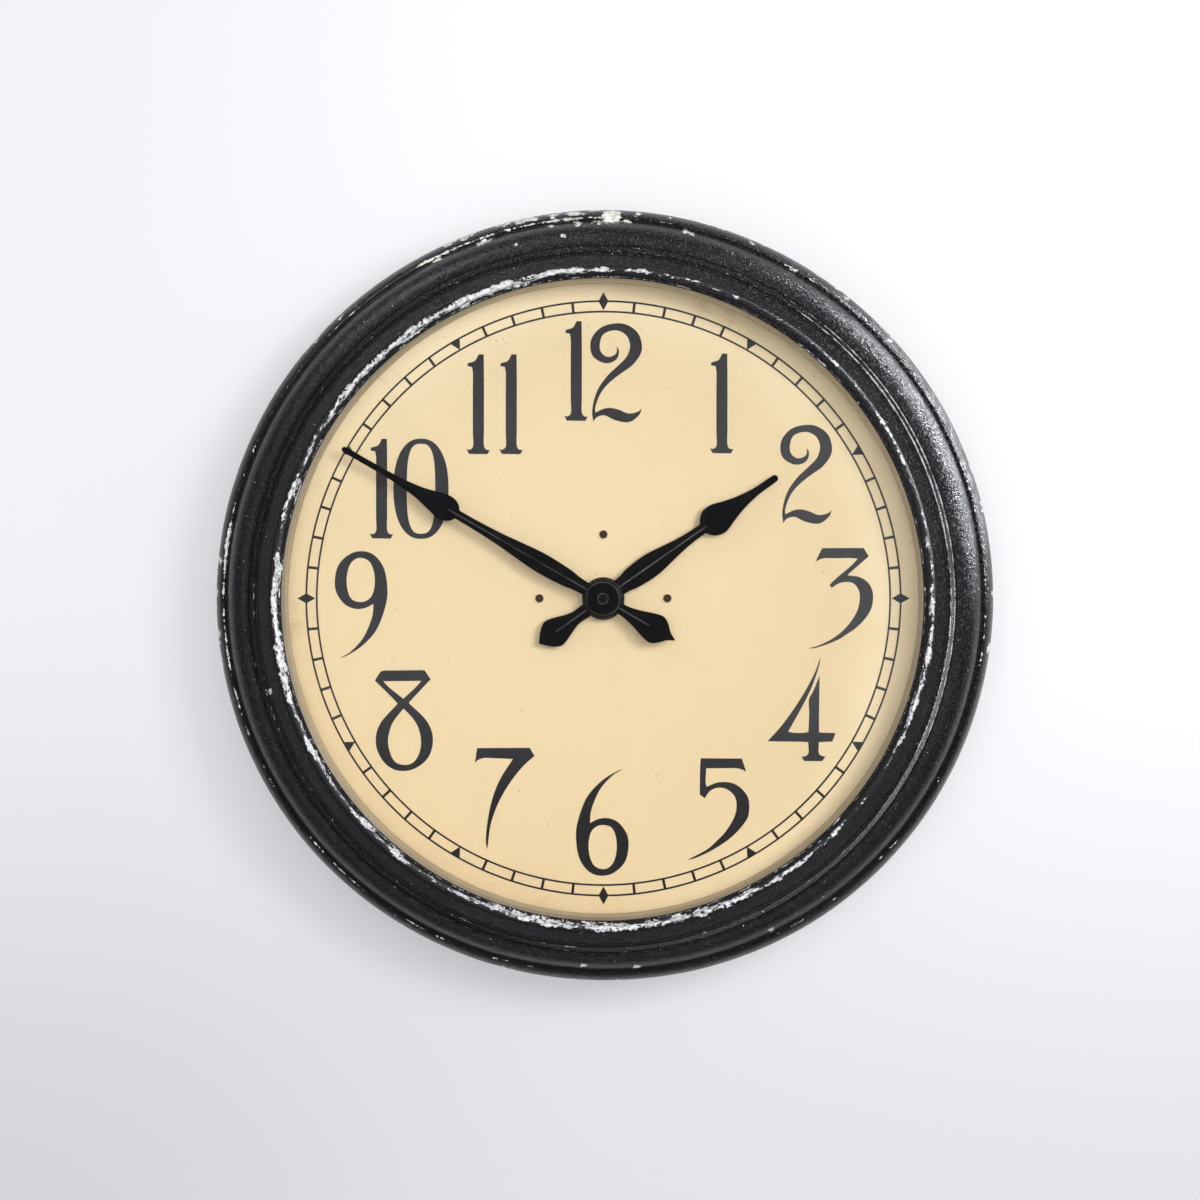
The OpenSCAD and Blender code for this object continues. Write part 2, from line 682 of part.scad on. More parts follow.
module hinge_bezel_leaf() {
    leaf_half = knuckle_len * 1.5 - knuckle_play;
    foot_z = case_depth - hinge_leaf_t;
    foot_in = 5.5;
    notch_end = knuckle_r + 1;
    side_x = hinge_x + knuckle_r - hinge_leaf_t;
    color([0.16, 0.16, 0.17]) face() difference() {
        union() {
            for (i = bezel_knuckles) {
                knuckle(i, knuckle_play) cylinder(r = knuckle_r, h = knuckle_len - 2 * knuckle_play);
                translate([side_x, (i - 0.5) * knuckle_len + knuckle_play, hinge_z])
                    cube([hinge_leaf_t, knuckle_len - 2 * knuckle_play, foot_z - hinge_z]);
            }
            translate([side_x, -leaf_half, hinge_z + notch_end])
                cube([hinge_leaf_t, 2 * leaf_half, case_depth - hinge_z - notch_end]);
            translate([hinge_x - foot_in, -leaf_half, foot_z])
                cube([side_x - hinge_x + foot_in + hinge_leaf_t, 2 * leaf_half, hinge_leaf_t]);
        }
        translate([hinge_x, -leaf_half - cut_over, hinge_z]) rotate([-90, 0, 0])
            cylinder(r = hinge_pin_r + run_fit, h = 2 * leaf_half + 2 * cut_over);
        for (p = bezel_rivet_spots)
            at(p, foot_z - cut_over)
                cylinder(r = bezel_rivet_r + run_fit, h = hinge_leaf_t + 2 * cut_over);
    }
}
module hinge_bezel_rivets() {
    color([0.3, 0.3, 0.31]) face()
        for (p = bezel_rivet_spots) at(p, case_depth + ring_t)
            rivet(bezel_rivet_head_r, bezel_rivet_r, ring_t + hinge_leaf_t);
}

// Catch: a hook pivoted on the drum takes hold of a stud on the bezel's backing ring
module catch_post() {
    head_r = 3.6;
    head_h = 1.5;
    shoulder_r = 3.4;
    shoulder_x = hook_x - 0.2;
    head_x = hook_x + hook_t + side_play;
    color([0.62, 0.60, 0.55]) face() {
        along_x(-head_x - head_h, 0, hook_z) cylinder(r = head_r, h = head_h);
        along_x(-head_x - head_h / 2, 0, hook_z)
            cylinder(r = hook_hole_r - run_fit, h = head_x + head_h - shoulder_x);
        along_x(-shoulder_x, 0, hook_z) cylinder(r = shoulder_r, h = shoulder_x - case_r);
        along_x(-case_r - 1, 0, hook_z) cylinder(r = stake_r, h = case_wall + 1);
    }
}
module hook_outline() {
    eye_r = 4.4;
    head_r = stud_r + 3.2;
    arm_w = 5.2;
    difference() {
        union() {
            circle(r = eye_r);
            translate([-arm_w / 2, 0]) square([arm_w, hook_reach]);
            translate([0, hook_reach]) circle(r = head_r);
        }
        circle(r = hook_hole_r);
        translate([0, hook_reach]) circle(r = stud_r + side_play);
        intersection() {
            difference() {
                circle(r = hook_reach + stud_r + side_play);
                circle(r = hook_reach - stud_r - side_play);
            }
            translate([-hook_reach, 0]) square([hook_reach, 2 * hook_reach]);
        }
    }
}
module catch_hook() {
    color([0.72, 0.60, 0.34]) face()
        translate([-hook_x - hook_t, 0, hook_z]) rotate([-hook_swing, 0, 0])
            rotate([90, 0, 90]) linear_extrude(hook_t) hook_outline();
}
module catch_keeper() {
    sheet = 1.5;
    keeper_w = 10;
    stand_off = 3.5;
    below_stud = 4;
    foot_len_x = 6;
    leg_x = -hook_x - hook_t - stand_off;
    color([0.45, 0.45, 0.46]) face() {
        translate([leg_x - sheet, -keeper_w / 2, stud_z - below_stud])
            cube([sheet, keeper_w, case_depth - stud_z + below_stud]);
        translate([leg_x - foot_len_x, -keeper_w / 2, case_depth - sheet])
            cube([foot_len_x, keeper_w, sheet]);
        along_x(leg_x - sheet / 2, 0, stud_z)
            cylinder(r = stud_r, h = sheet / 2 + stand_off + hook_t + sheet);
    }
}

// Movement plates with their pillars, the feet that carry the dial, and the screws
module plate_blank() {
    rounded_plate(-plate_half_w, plate_half_w, -plate_low, plate_top, plate_t, 6);
}
module plate_hole(spot, r) {
    at(spot, -cut_over) cylinder(r = r + run_fit, h = plate_t + 2 * cut_over);
}
module plate_holes(centre_r) {
    plate_hole([0, 0], centre_r);
    plate_hole([pivot_x, pivot_y], screw_r);
    for (p = pillar_spots) plate_hole(p, screw_r);
}
rear_pivot_r = 1.5;
module front_plate() {
    color([0.76, 0.62, 0.34]) face() translate([0, 0, front_plate_z]) difference() {
        plate_blank();
        plate_holes(arbor_r);
        plate_hole([0, -gear_centres], stake_r);
        for (p = foot_spots) plate_hole(p, screw_r);
    }
}
module back_plate() {
    color([0.74, 0.60, 0.33]) face() translate([0, 0, back_plate_z]) difference() {
        plate_blank();
        plate_holes(rear_pivot_r);
        plate_hole(stop_post, stake_r);
        plate_hole([pivot_x + tail_x, spring_post_y], stake_r);
    }
}
module plate_pillars() {
    color([0.78, 0.66, 0.40]) face()
        for (p = pillar_spots) at(p, back_plate_z + plate_t) difference() {
            cylinder(r = post_r, h = plate_gap);
            for (z = [-cut_over, plate_gap - tap_depth])
                translate([0, 0, z]) cylinder(r = screw_r + run_fit, h = tap_depth + cut_over);
        }
}
module pillar_screws() {
    color([0.35, 0.37, 0.42]) face()
        for (p = pillar_spots) {
            at(p, motion_z) slotted_screw(screw_head_r, screw_head_h, screw_r, plate_t + bite);
            at(p, back_plate_z) mirror([0, 0, 1])
                slotted_screw(screw_head_r, screw_head_h, screw_r, plate_t + bite);
        }
}
module dial_feet() {
    color([0.78, 0.66, 0.40]) face()
        for (p = foot_spots) at(p, motion_z) bored_disc(post_r + 0.5, screw_r + run_fit, foot_len);
}
dial_screw_head_r = 2.95;
dial_screw_head_h = 1.4;
module movement_screws() {
    color([0.42, 0.30, 0.20]) face()
        for (p = foot_spots) at(p, dial_front) rotate(p[0])
            slotted_screw(dial_screw_head_r, dial_screw_head_h, screw_r,
                          dial_t + foot_len + plate_t);
}

// Centre arbor and motion work
arbor_body_r = 3;
end_play = 0.2;
nut_bore = 1.6;
module centre_arbor() {
    tail_out = 0.8;
    color([0.55, 0.56, 0.58]) face() {
        translate([0, 0, back_plate_z - tail_out])
            cylinder(r = rear_pivot_r, h = plate_t + tail_out + 2 * end_play);
        translate([0, 0, back_plate_z + plate_t + end_play])
            cylinder(r = arbor_body_r, h = plate_gap - 2 * end_play);
        translate([0, 0, front_plate_z - 2 * end_play])
            cylinder(r = arbor_r, h = cannon_end + nut_bore - 0.1 - front_plate_z + 2 * end_play);
    }
}
module ratchet_wheel() {
    boss = 3;
    color([0.80, 0.66, 0.36]) face() translate([0, 0, ratchet_z]) difference() {
        union() {
            rotate(-minute_angle) linear_extrude(ratchet_t) polygon(ratchet_outline());
            translate([0, 0, -boss]) cylinder(r = 2 * arbor_body_r, h = ratchet_t + 2 * boss);
        }
        translate([0, 0, -boss - cut_over])
            cylinder(r = arbor_body_r + run_fit, h = ratchet_t + 2 * boss + 2 * cut_over);
        translate([0, 0, -cut_over])
            crossings(ratchet_r - 5, 8, 3, 5, ratchet_t + 2 * cut_over);
    }
}
module cannon_pinion() {
    color([0.62, 0.62, 0.62]) face() difference() {
        union() {
            translate([0, 0, cannon_z]) rotate(-90) linear_extrude(cannon_face)
                polygon(gear_outline(cannon_teeth));
            translate([0, 0, cannon_z]) cylinder(r = cannon_r, h = cannon_end - cannon_z);
        }
        translate([0, 0, cannon_z - cut_over])
            cylinder(r = arbor_r + run_fit, h = cannon_end - cannon_z + 2 * cut_over);
    }
}
module intermediate_stud() {
    head_z = pinion_z + pinion_face + end_play;
    color([0.6, 0.6, 0.6]) face() at([0, -gear_centres], 0) {
        translate([0, 0, front_plate_z]) cylinder(r = stake_r, h = plate_t + 0.1);
        translate([0, 0, motion_z]) cylinder(r = stud_pin_r + 1.2, h = large_z - motion_z - 0.15);
        translate([0, 0, motion_z]) cylinder(r = stud_pin_r, h = head_z - motion_z);
        translate([0, 0, head_z]) cylinder(r = stud_pin_r + 0.9, h = 0.7);
    }
}
module intermediate_wheel() {
    color([0.80, 0.66, 0.36]) face() at([0, -gear_centres], large_z) difference() {
        rotate(90 + 180 / large_teeth) linear_extrude(wheel_t) polygon(gear_outline(large_teeth));
        translate([0, 0, -cut_over]) {
            cylinder(r = stud_pin_r + run_fit, h = wheel_t + 2 * cut_over);
            crossings(gear_m * large_teeth / 2 - 3.5, 6, 2.4, 5, wheel_t + 2 * cut_over);
        }
    }
}
module intermediate_pinion() {
    color([0.62, 0.62, 0.62]) face() at([0, -gear_centres], pinion_z) difference() {
        rotate(90) linear_extrude(pinion_face) polygon(gear_outline(pinion_teeth));
        translate([0, 0, -cut_over])
            cylinder(r = stud_pin_r + run_fit, h = pinion_face + 2 * cut_over);
    }
}
module hour_wheel() {
    color([0.80, 0.66, 0.36]) face() difference() {
        union() {
            translate([0, 0, hour_wheel_z]) rotate(-90 + 180 / hour_teeth)
                linear_extrude(wheel_t) polygon(gear_outline(hour_teeth));
            translate([0, 0, hour_wheel_z])
                cylinder(r = hour_pipe_r, h = hour_pipe_end - hour_wheel_z);
        }
        translate([0, 0, hour_wheel_z - cut_over])
            cylinder(r = cannon_r + run_fit, h = hour_pipe_end - hour_wheel_z + 2 * cut_over);
        translate([0, 0, hour_wheel_z - cut_over])
            crossings(gear_m * hour_teeth / 2 - 3.5, 8, 2.4, 5, wheel_t + 2 * cut_over);
    }
}

// Hands: stations give half the width at each distance from the centre, tail first. Their
// lengths are drawn for an opening of 18 inches and follow the opening
minute_stations = [[0.3, -59.8], [3.2, -54.6], [7.2, -50.6], [10.2, -46.4], [10.6, -42],
                   [9, -36], [6.4, -28], [4.5, -20], [4.2, -13], [4.9, 18], [6.4, 30],
                   [7.2, 44], [7.1, 56], [5.9, 70], [4.6, 84], [3.8, 98], [3.4, 112],
                   [3.4, 121.3]];
minute_spade = [[3.4, 121.3], [6.2, 123.4], [8.4, 127], [9.2, 131.5], [8.6, 136.5],
                [6.5, 144.5], [4.4, 154], [3, 166], [2.4, 178], [2.15, 195], [2.15, 213.5],
                [1.6, 216.3], [0.2, 217.2]];
hour_stations = [[0.3, -56.6], [3.5, -54], [7.4, -50.2], [10.1, -46], [10.6, -42.2],
                 [9, -36.8], [6.6, -30.6], [5, -25], [4.9, -19], [6.2, 16], [7.8, 25],
                 [8.7, 38], [8.2, 47], [6.4, 58], [4.8, 69], [4, 79], [3.9, 88]];
hour_spade = [[3.9, 88], [7.2, 90.4], [10.2, 94.4], [11.4, 99.6], [10.6, 104],
              [8.2, 110.6], [5.6, 119.4], [3.7, 129], [2.8, 138], [2.65, 150],
              [2, 153], [0.2, 154]];
// A pressed rib runs from each round end to the collet that covers the eye
rib_gap = 0.3;
module rib(away, end) {
    start = away + rib_gap;
    rotate([-90, 0, 0]) translate([0, 0, start]) cylinder(r = rib_r, h = end - start, $fn = 24);
    translate([0, end, 0]) sphere(r = rib_r, $fn = 24);
}
module hand(stem, spade, eye_r, bore_r, disc_r, rib_back, rib_front) {
    side = [for (p = concat(smooth(stem, 3), smooth(spade, 3))) [p[0], p[1] * hand_scale]];
    difference() {
        union() {
            linear_extrude(hand_t) polygon(concat(side, mirrored(side)));
            cylinder(r = eye_r, h = hand_t);
            translate([0, 0, hand_t]) {
                rib(disc_r, rib_front * hand_scale);
                rotate(180) rib(disc_r, rib_back * hand_scale);
            }
        }
        translate([0, 0, -cut_over]) cylinder(r = bore_r, h = hand_t + rib_r + 2 * cut_over);
    }
}
minute_bore_r = cannon_r + 1.5;
hour_bore_r = hour_pipe_r + 1.2;
minute_disc_r = minute_eye_r - 0.6;
hour_disc_r = hour_eye_r - 1;
module minute_hand() {
    color([0.05, 0.05, 0.06]) face() translate([0, 0, minute_hand_z]) rotate(-minute_angle)
        hand(minute_stations, minute_spade, minute_eye_r, minute_bore_r, minute_disc_r, 38, 128);
}
module hour_hand() {
    color([0.05, 0.05, 0.06]) face() translate([0, 0, hour_hand_z]) rotate(-hour_angle)
        hand(hour_stations, hour_spade, hour_eye_r, hour_bore_r, hour_disc_r, 42, 91);
}
// Turned collets: a boss behind the hand and a domed disc over its eye
boss_h = 3;
disc_h = 1.4;
module collet(bore_r, boss_r, neck_r, disc_r, boss_h, disc_h) {
    rotate_extrude() polygon(concat(
        [[bore_r + run_fit, -boss_h], [boss_r, -boss_h], [boss_r, 0], [neck_r, 0],
         [neck_r, hand_t]],
        arc([disc_r - disc_h, hand_t], disc_h, disc_h, 0, 90, 4),
        [[bore_r + run_fit, hand_t + disc_h]]));
}
module minute_hand_collet() {
    color([0.06, 0.06, 0.07]) face() translate([0, 0, minute_hand_z])
        collet(cannon_r, cannon_r + 3.5, minute_bore_r - run_fit, minute_disc_r, boss_h, disc_h);
}
module hour_hand_collet() {
    color([0.06, 0.06, 0.07]) face() translate([0, 0, hour_hand_z])
        collet(hour_pipe_r, hour_pipe_r + 3, hour_bore_r - run_fit, hour_disc_r, boss_h, disc_h);
}
module hand_nut() {
    nut_r = cannon_r - 0.4;
    nut_h = nut_bore + 0.8;
    slot = 0.9;
    color([0.40, 0.30, 0.22]) face() translate([0, 0, cannon_end]) rotate(-minute_angle)
        difference() {
            cylinder(r = nut_r, h = nut_h);
            translate([0, 0, -cut_over]) cylinder(r = arbor_r + run_fit, h = cut_over + nut_bore);
            translate([-nut_r - cut_over, -slot / 2, nut_bore + 0.1])
                cube([2 * nut_r + 2 * cut_over, slot, nut_h]);
        }
}

// Electromagnet: two coils on iron cores, a yoke below and the armature above
module both_coils(y) {
    for (x = [-coil_x, coil_x]) along_y(x, y, plate_mid_z) children();
}
module coil_yoke() {
    color([0.40, 0.41, 0.43]) face()
        translate([-coil_x - bobbin_r, yoke_y, front_plate_z - plate_gap])
            cube([2 * coil_x + 2 * bobbin_r, yoke_h, plate_gap]);
}
module coil_cores() {
    color([0.50, 0.51, 0.53]) face()
        both_coils(yoke_y + yoke_h) cylinder(r = core_r, h = core_len);
}
bobbin_y = yoke_y + yoke_h + 1.5;
module coil_bobbins() {
    color([0.35, 0.14, 0.08]) face() both_coils(bobbin_y) {
        for (z = [0, coil_len - bobbin_flange])
            translate([0, 0, z]) bored_disc(bobbin_r, core_r + run_fit, bobbin_flange);
        bored_disc(core_r + 1, core_r + run_fit, coil_len);
    }
}
module coil_windings() {
    color([0.60, 0.22, 0.10]) face() both_coils(bobbin_y + bobbin_flange)
        bored_disc(coil_r, core_r + 1 + run_fit, coil_len - 2 * bobbin_flange);
}

// The armature is drawn against the poles, then lifted by its stroke to rest
module armature_rest() {
    translate([pivot_x, pivot_y, 0]) rotate(-armature_stroke) children();
}
module armature() {
    left = pawl_pin_x - 3 - pivot_x;
    mid = plate_mid_z;
    barrel = plate_gap - 5.5;
    color([0.42, 0.43, 0.45]) face() armature_rest() difference() {
        union() {
            translate([left, -armature_h / 2, mid - armature_w / 2])
                cube([-left, armature_h, armature_w]);
            translate([0, -armature_h / 2, mid - 3]) cube([tail_x + 3, armature_h, 6]);
            translate([0, 0, mid - barrel / 2]) cylinder(r = armature_h, h = barrel);
            translate([left, 0, ratchet_z - 4]) cube([6, pawl_pin_lift, 3]);
            translate([left + 3, pawl_pin_lift, ratchet_z - 4]) cylinder(r = 3, h = 3);
        }
        translate([0, 0, mid - barrel / 2 - cut_over])
            cylinder(r = screw_r + run_fit, h = barrel + 2 * cut_over);
        translate([left + 3, pawl_pin_lift, ratchet_z - 5]) cylinder(r = pawl_pin_r + run_fit, h = 5);
    }
}
module armature_arbor() {
    color([0.6, 0.6, 0.62]) face() at([pivot_x, pivot_y], back_plate_z)
        cylinder(r = screw_r, h = plate_gap + 2 * plate_t);
}
module spring_post() {
    color([0.6, 0.6, 0.62]) face() at([pivot_x + tail_x, spring_post_y], back_plate_z) {
        cylinder(r = stake_r, h = plate_t);
        translate([0, 0, plate_t]) cylinder(r = spring_post_r, h = plate_gap);
    }
}
spring_post_r = 2;
spring_play = 0.1;
spring_turns = 8;
spring_steps = 9;
spring_coil_r = 3;
spring_wire_r = 0.45;
module return_spring() {
    low = spring_post_y + spring_post_r + spring_wire_r + spring_play;
    high = pivot_y - armature_h / 2 - (tail_x + spring_coil_r) * sin(armature_stroke)
           - spring_wire_r - spring_play;
    path = [for (i = [0:spring_turns * spring_steps])
        let (t = i / spring_steps, a = 360 * t)
        [pivot_x + tail_x + spring_coil_r * cos(a), low + (high - low) * t / spring_turns,
         plate_mid_z + spring_coil_r * sin(a)]];
    color([0.68, 0.68, 0.66]) face() tube(path, spring_wire_r, 6, [0, 1, 0]);
}

// Pawls end just outside the tips of the ratchet teeth
function turned(p, a) = [p[0] * cos(a) - p[1] * sin(a), p[0] * sin(a) + p[1] * cos(a)];
pawl_pin = [pivot_x, pivot_y]
           + turned([pawl_pin_x - pivot_x, pawl_pin_lift], -armature_stroke);
drive_tip = (ratchet_r + pawl_clear) * [cos(pawl_tip_angle), sin(pawl_tip_angle)];
stop_tip = (ratchet_r + pawl_clear) * [cos(stop_tip_angle), sin(stop_tip_angle)];
pawl_eye_r = 3;
module pawl(from, to, hand_side) {
    span = norm(to - from);
    lean = atan2(to[1] - from[1], to[0] - from[0]);
    at(from, ratchet_z) rotate(lean) difference() {
        union() {
            cylinder(r = pawl_eye_r, h = ratchet_t);
            linear_extrude(ratchet_t)
                polygon([[0, 2.6 * hand_side], [span - 6, 2.2 * hand_side],
                         [span - 0.4, 1.2 * hand_side], [span, 0],
                         [span - 4, -0.6 * hand_side], [0, -2.6 * hand_side]]);
        }
        translate([0, 0, -cut_over])
            cylinder(r = pawl_pin_r + run_fit, h = ratchet_t + 2 * cut_over);
    }
}
module drive_pawl() {
    color([0.50, 0.52, 0.55]) face() pawl(pawl_pin, drive_tip, 1);
}
module drive_pawl_pin() {
    color([0.62, 0.62, 0.64]) face() at(pawl_pin, ratchet_z - 4) {
        cylinder(r = pawl_pin_r, h = ratchet_t + 4.4);
        translate([0, 0, ratchet_t + 4.3]) cylinder(r = pawl_pin_r + 0.8, h = 0.8);
    }
}
leaf_t = 0.3;
leaf_w = 2;
module leaf(from, lean, length) {
    at(from, ratchet_z + (ratchet_t - leaf_w) / 2) rotate(lean)
        translate([0, -leaf_t / 2, 0]) cube([length, leaf_t, leaf_w]);
}
module drive_pawl_spring() {
    root = [pawl_pin[0] - 5.2, pawl_pin[1] - 3.4];
    tip = pawl_pin + 0.55 * (drive_tip - pawl_pin)
          + 2.7 * unit([pawl_pin[1] - drive_tip[1], drive_tip[0] - pawl_pin[0]]);
    color([0.66, 0.66, 0.64]) face() {
        leaf(root, atan2(tip[1] - root[1], tip[0] - root[0]), norm(tip - root));
        at(root, ratchet_z - 1) cylinder(r = 0.8, h = ratchet_t + 1);
        translate([root[0], root[1] - 0.8, ratchet_z - 1]) cube([3, 1.6, 0.8]);
    }
}
module stop_pawl() {
    color([0.50, 0.52, 0.55]) face() pawl(stop_post, stop_tip, 1);
}
module stop_pawl_post() {
    color([0.62, 0.62, 0.64]) face() at(stop_post, back_plate_z) {
        cylinder(r = stake_r, h = plate_t);
        translate([0, 0, plate_t])
            cylinder(r = pawl_eye_r, h = ratchet_z - back_plate_z - plate_t - end_play);
        cylinder(r = pawl_pin_r, h = ratchet_z + ratchet_t + 0.3 - back_plate_z);
        translate([0, 0, ratchet_z + ratchet_t + end_play - back_plate_z])
            cylinder(r = pawl_pin_r + 0.8, h = 0.8);
    }
}
module stop_pawl_spring() {
    root = [stop_post[0] - 2, stop_post[1] + 7];
    tip = stop_post + 0.55 * (stop_tip - stop_post)
          + 2.7 * unit([stop_post[1] - stop_tip[1], stop_tip[0] - stop_post[0]]);
    color([0.66, 0.66, 0.64]) face() {
        leaf(root, atan2(tip[1] - root[1], tip[0] - root[0]), norm(tip - root));
        at(root, back_plate_z + plate_t)
            cylinder(r = 0.8, h = ratchet_z + ratchet_t - back_plate_z - plate_t);
    }
}

// Terminal block and the two leads from the coils
module terminal_block() {
    color([0.22, 0.12, 0.08]) face() difference() {
        translate([-terminal_size[0] / 2, terminal_y - terminal_size[1] / 2, case_wall])
            cube(terminal_size);
        for (x = [-terminal_x, terminal_x])
            at([x, terminal_y], case_wall + terminal_size[2] - tap_depth)
                cylinder(r = screw_r + run_fit, h = tap_depth + cut_over);
        translate([-1, terminal_y - terminal_size[1], case_wall + terminal_size[2] - 4])
            cube([2, 2 * terminal_size[1], 5]);
    }
}
module terminal_screws() {
    color([0.74, 0.60, 0.33]) face()
        for (x = [-terminal_x, terminal_x])
            at([x, terminal_y], case_wall + terminal_size[2]) slotted_screw(4, 2, screw_r, bite);
}
lead_r = 0.9;
lead_x = coil_x + bobbin_r;
lead_z = case_wall + terminal_size[2] + lead_r + 0.05;
lead_route = [[lead_x + 1, bobbin_y + 2, plate_mid_z], [lead_x + 3.5, bobbin_y - 6, plate_mid_z - 1],
              [lead_x + 2, bobbin_y - 18, plate_mid_z - 6], [lead_x - 4, -105, lead_z + 5],
              [terminal_x + 5.2, -114, lead_z + 1], [terminal_x + 5, terminal_y, lead_z]];
module coil_leads() {
    color([0.30, 0.24, 0.16]) face()
        for (side = [-1, 1])
            mirror([side < 0 ? 1 : 0, 0, 0]) tube(smooth(lead_route, 5), lead_r, 8, [0.2, 0, 1]);
}

case_back();
case_side();
case_flange();
hanger_plate();
hanger_rivets();
cable_grommet();
dial_posts();
dial();
dial_edge_screws();
hinge_case_leaf();
hinge_case_rivets();
hinge_pin();
catch_post();
front_plate();
back_plate();
plate_pillars();
pillar_screws();
dial_feet();
movement_screws();
intermediate_stud();
coil_bobbins();
coil_windings();
coil_cores();
coil_yoke();
armature_arbor();
spring_post();
return_spring();
stop_pawl_post();
stop_pawl_spring();
terminal_block();
terminal_screws();
coil_leads();
bezel();
bezel_backing_ring();
glass();
sight_ring();
glass_clips();
hinge_bezel_leaf();
hinge_bezel_rivets();
catch_keeper();
catch_hook();
centre_arbor();
ratchet_wheel();
cannon_pinion();
minute_hand();
minute_hand_collet();
hand_nut();
intermediate_wheel();
intermediate_pinion();
hour_wheel();
hour_hand();
hour_hand_collet();
armature();
drive_pawl_pin();
drive_pawl_spring();
drive_pawl();
stop_pawl();
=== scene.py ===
import json
import math
import bmesh
import bpy
import numpy as np
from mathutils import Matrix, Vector, geometry


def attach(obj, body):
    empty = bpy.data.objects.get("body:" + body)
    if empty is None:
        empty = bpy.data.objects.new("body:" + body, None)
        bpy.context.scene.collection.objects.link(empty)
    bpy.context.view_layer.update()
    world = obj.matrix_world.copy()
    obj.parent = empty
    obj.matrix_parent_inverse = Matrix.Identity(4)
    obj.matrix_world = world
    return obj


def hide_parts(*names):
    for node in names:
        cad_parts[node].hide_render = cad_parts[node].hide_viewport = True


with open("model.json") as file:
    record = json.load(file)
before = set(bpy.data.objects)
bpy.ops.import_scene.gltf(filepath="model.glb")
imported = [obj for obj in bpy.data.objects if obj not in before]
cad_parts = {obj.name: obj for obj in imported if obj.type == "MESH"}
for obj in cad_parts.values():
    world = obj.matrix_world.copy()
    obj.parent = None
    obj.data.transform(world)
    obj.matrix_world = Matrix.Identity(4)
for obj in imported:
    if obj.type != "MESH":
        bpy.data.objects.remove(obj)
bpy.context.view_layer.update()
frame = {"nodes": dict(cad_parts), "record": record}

mm = 0.001
nodes = frame["nodes"]

# What a user would change, one dictionary per piece. Lengths in mm, but the places and sizes of camera,
# lights and wall in metres
cameraSettings = {"place": (0.035, -1.962, 0.035), "lens": 78.34, "sensor": 36.0, "shift": (-0.043, -0.0415),
                  "picture": 1200}
warm, cool = (1.0, 0.98, 0.95), (0.93, 0.95, 1.0)
lightSettings = {
    "key": {"place": (0.2, -2.6, 0.25), "size": (1.5, 1.3), "watts": 38.2, "colour": warm, "lit": "matt"},
    "side": {"place": (1.05, -2.1, 0.5), "size": (0.7, 0.7), "watts": 29.0, "colour": warm, "lit": "matt"},
    "window": {"place": (2.1, -0.65, 0.95), "size": (1.9, 1.5), "watts": 15.0, "colour": (0.86, 0.91, 1.0),
               "lit": "all"},
    "gleam": {"place": (2.27, -0.17, 1.16), "size": (0.35, 0.3), "watts": 205.0, "colour": cool,
              "lit": "gloss"},
    "ribs": {"place": (-0.8, -1.25, 1.3), "size": (0.5, 0.5), "watts": 9.0, "colour": cool, "lit": "gloss"},
    "fill": {"place": (-0.6, -2.4, -0.6), "size": (1.6, 1.6), "watts": 16.8, "colour": (0.94, 0.97, 1.0),
             "lit": "matt"},
}
worldSettings = {"soft": 0.45, "reflected": 0.045, "colour": (0.93, 0.965, 1.0), "backdrop": 1.0}
wallSettings = {
    "half": 3.0, "at": 0.0006, "colour": (0.360, 0.363, 0.379), "glow": (0.985, 0.985, 1.0), "rough": 0.9,
    "specular": 0.1, "byHeight": (-0.46, 0.06, 0.23, 0.44), "byLeft": (0.0, -0.4, 0.0, 0.07),
}
bezelSettings = {
    "steps": 512, "opening": 228.6, "lip": 3.1, "bead": 2.7, "flat": 7.9, "groove": 1.3, "fillet": 3.6,
    "quirk": 1.2, "ovolo": 19.6, "ovoloHeight": 18.4, "ovoloInset": 2.1, "notch": 2.0, "band": 8.0,
    "bandHeight": 17.2, "bandInset": 2.0, "shell": 1.6, "glassFront": 103.0, "back": 41.5, "rearEdge": 8.0,
    "rearBend": 2.5, "corner": 0.45, "dent": 0.14, "dentFrom": 238.0, "drawnFrom": 250.0, "ease": 20.0,
    "blend": 30, "sharp": 38, "seed": 4,
    # How far the rim is drawn in, by angle clockwise from twelve in degrees
    "drawnIn": [(0, 1), (30, 1.5), (60, .1), (90, 0), (120, 1), (150, 4), (180, 6.8), (210, 5.5),
                (240, 3.5), (270, 2.8), (300, 2.4), (330, 2.1), (360, 1)],
}
chapterSettings = {
    "outer": 216.1, "inner": 208.5, "line": 1.35, "steps": 540, "tick": 2.0, "triangle": (8.0, 7.7),
    "diamond": (7.3, 13.2), "front": 62.05, "thick": 0.12,
}
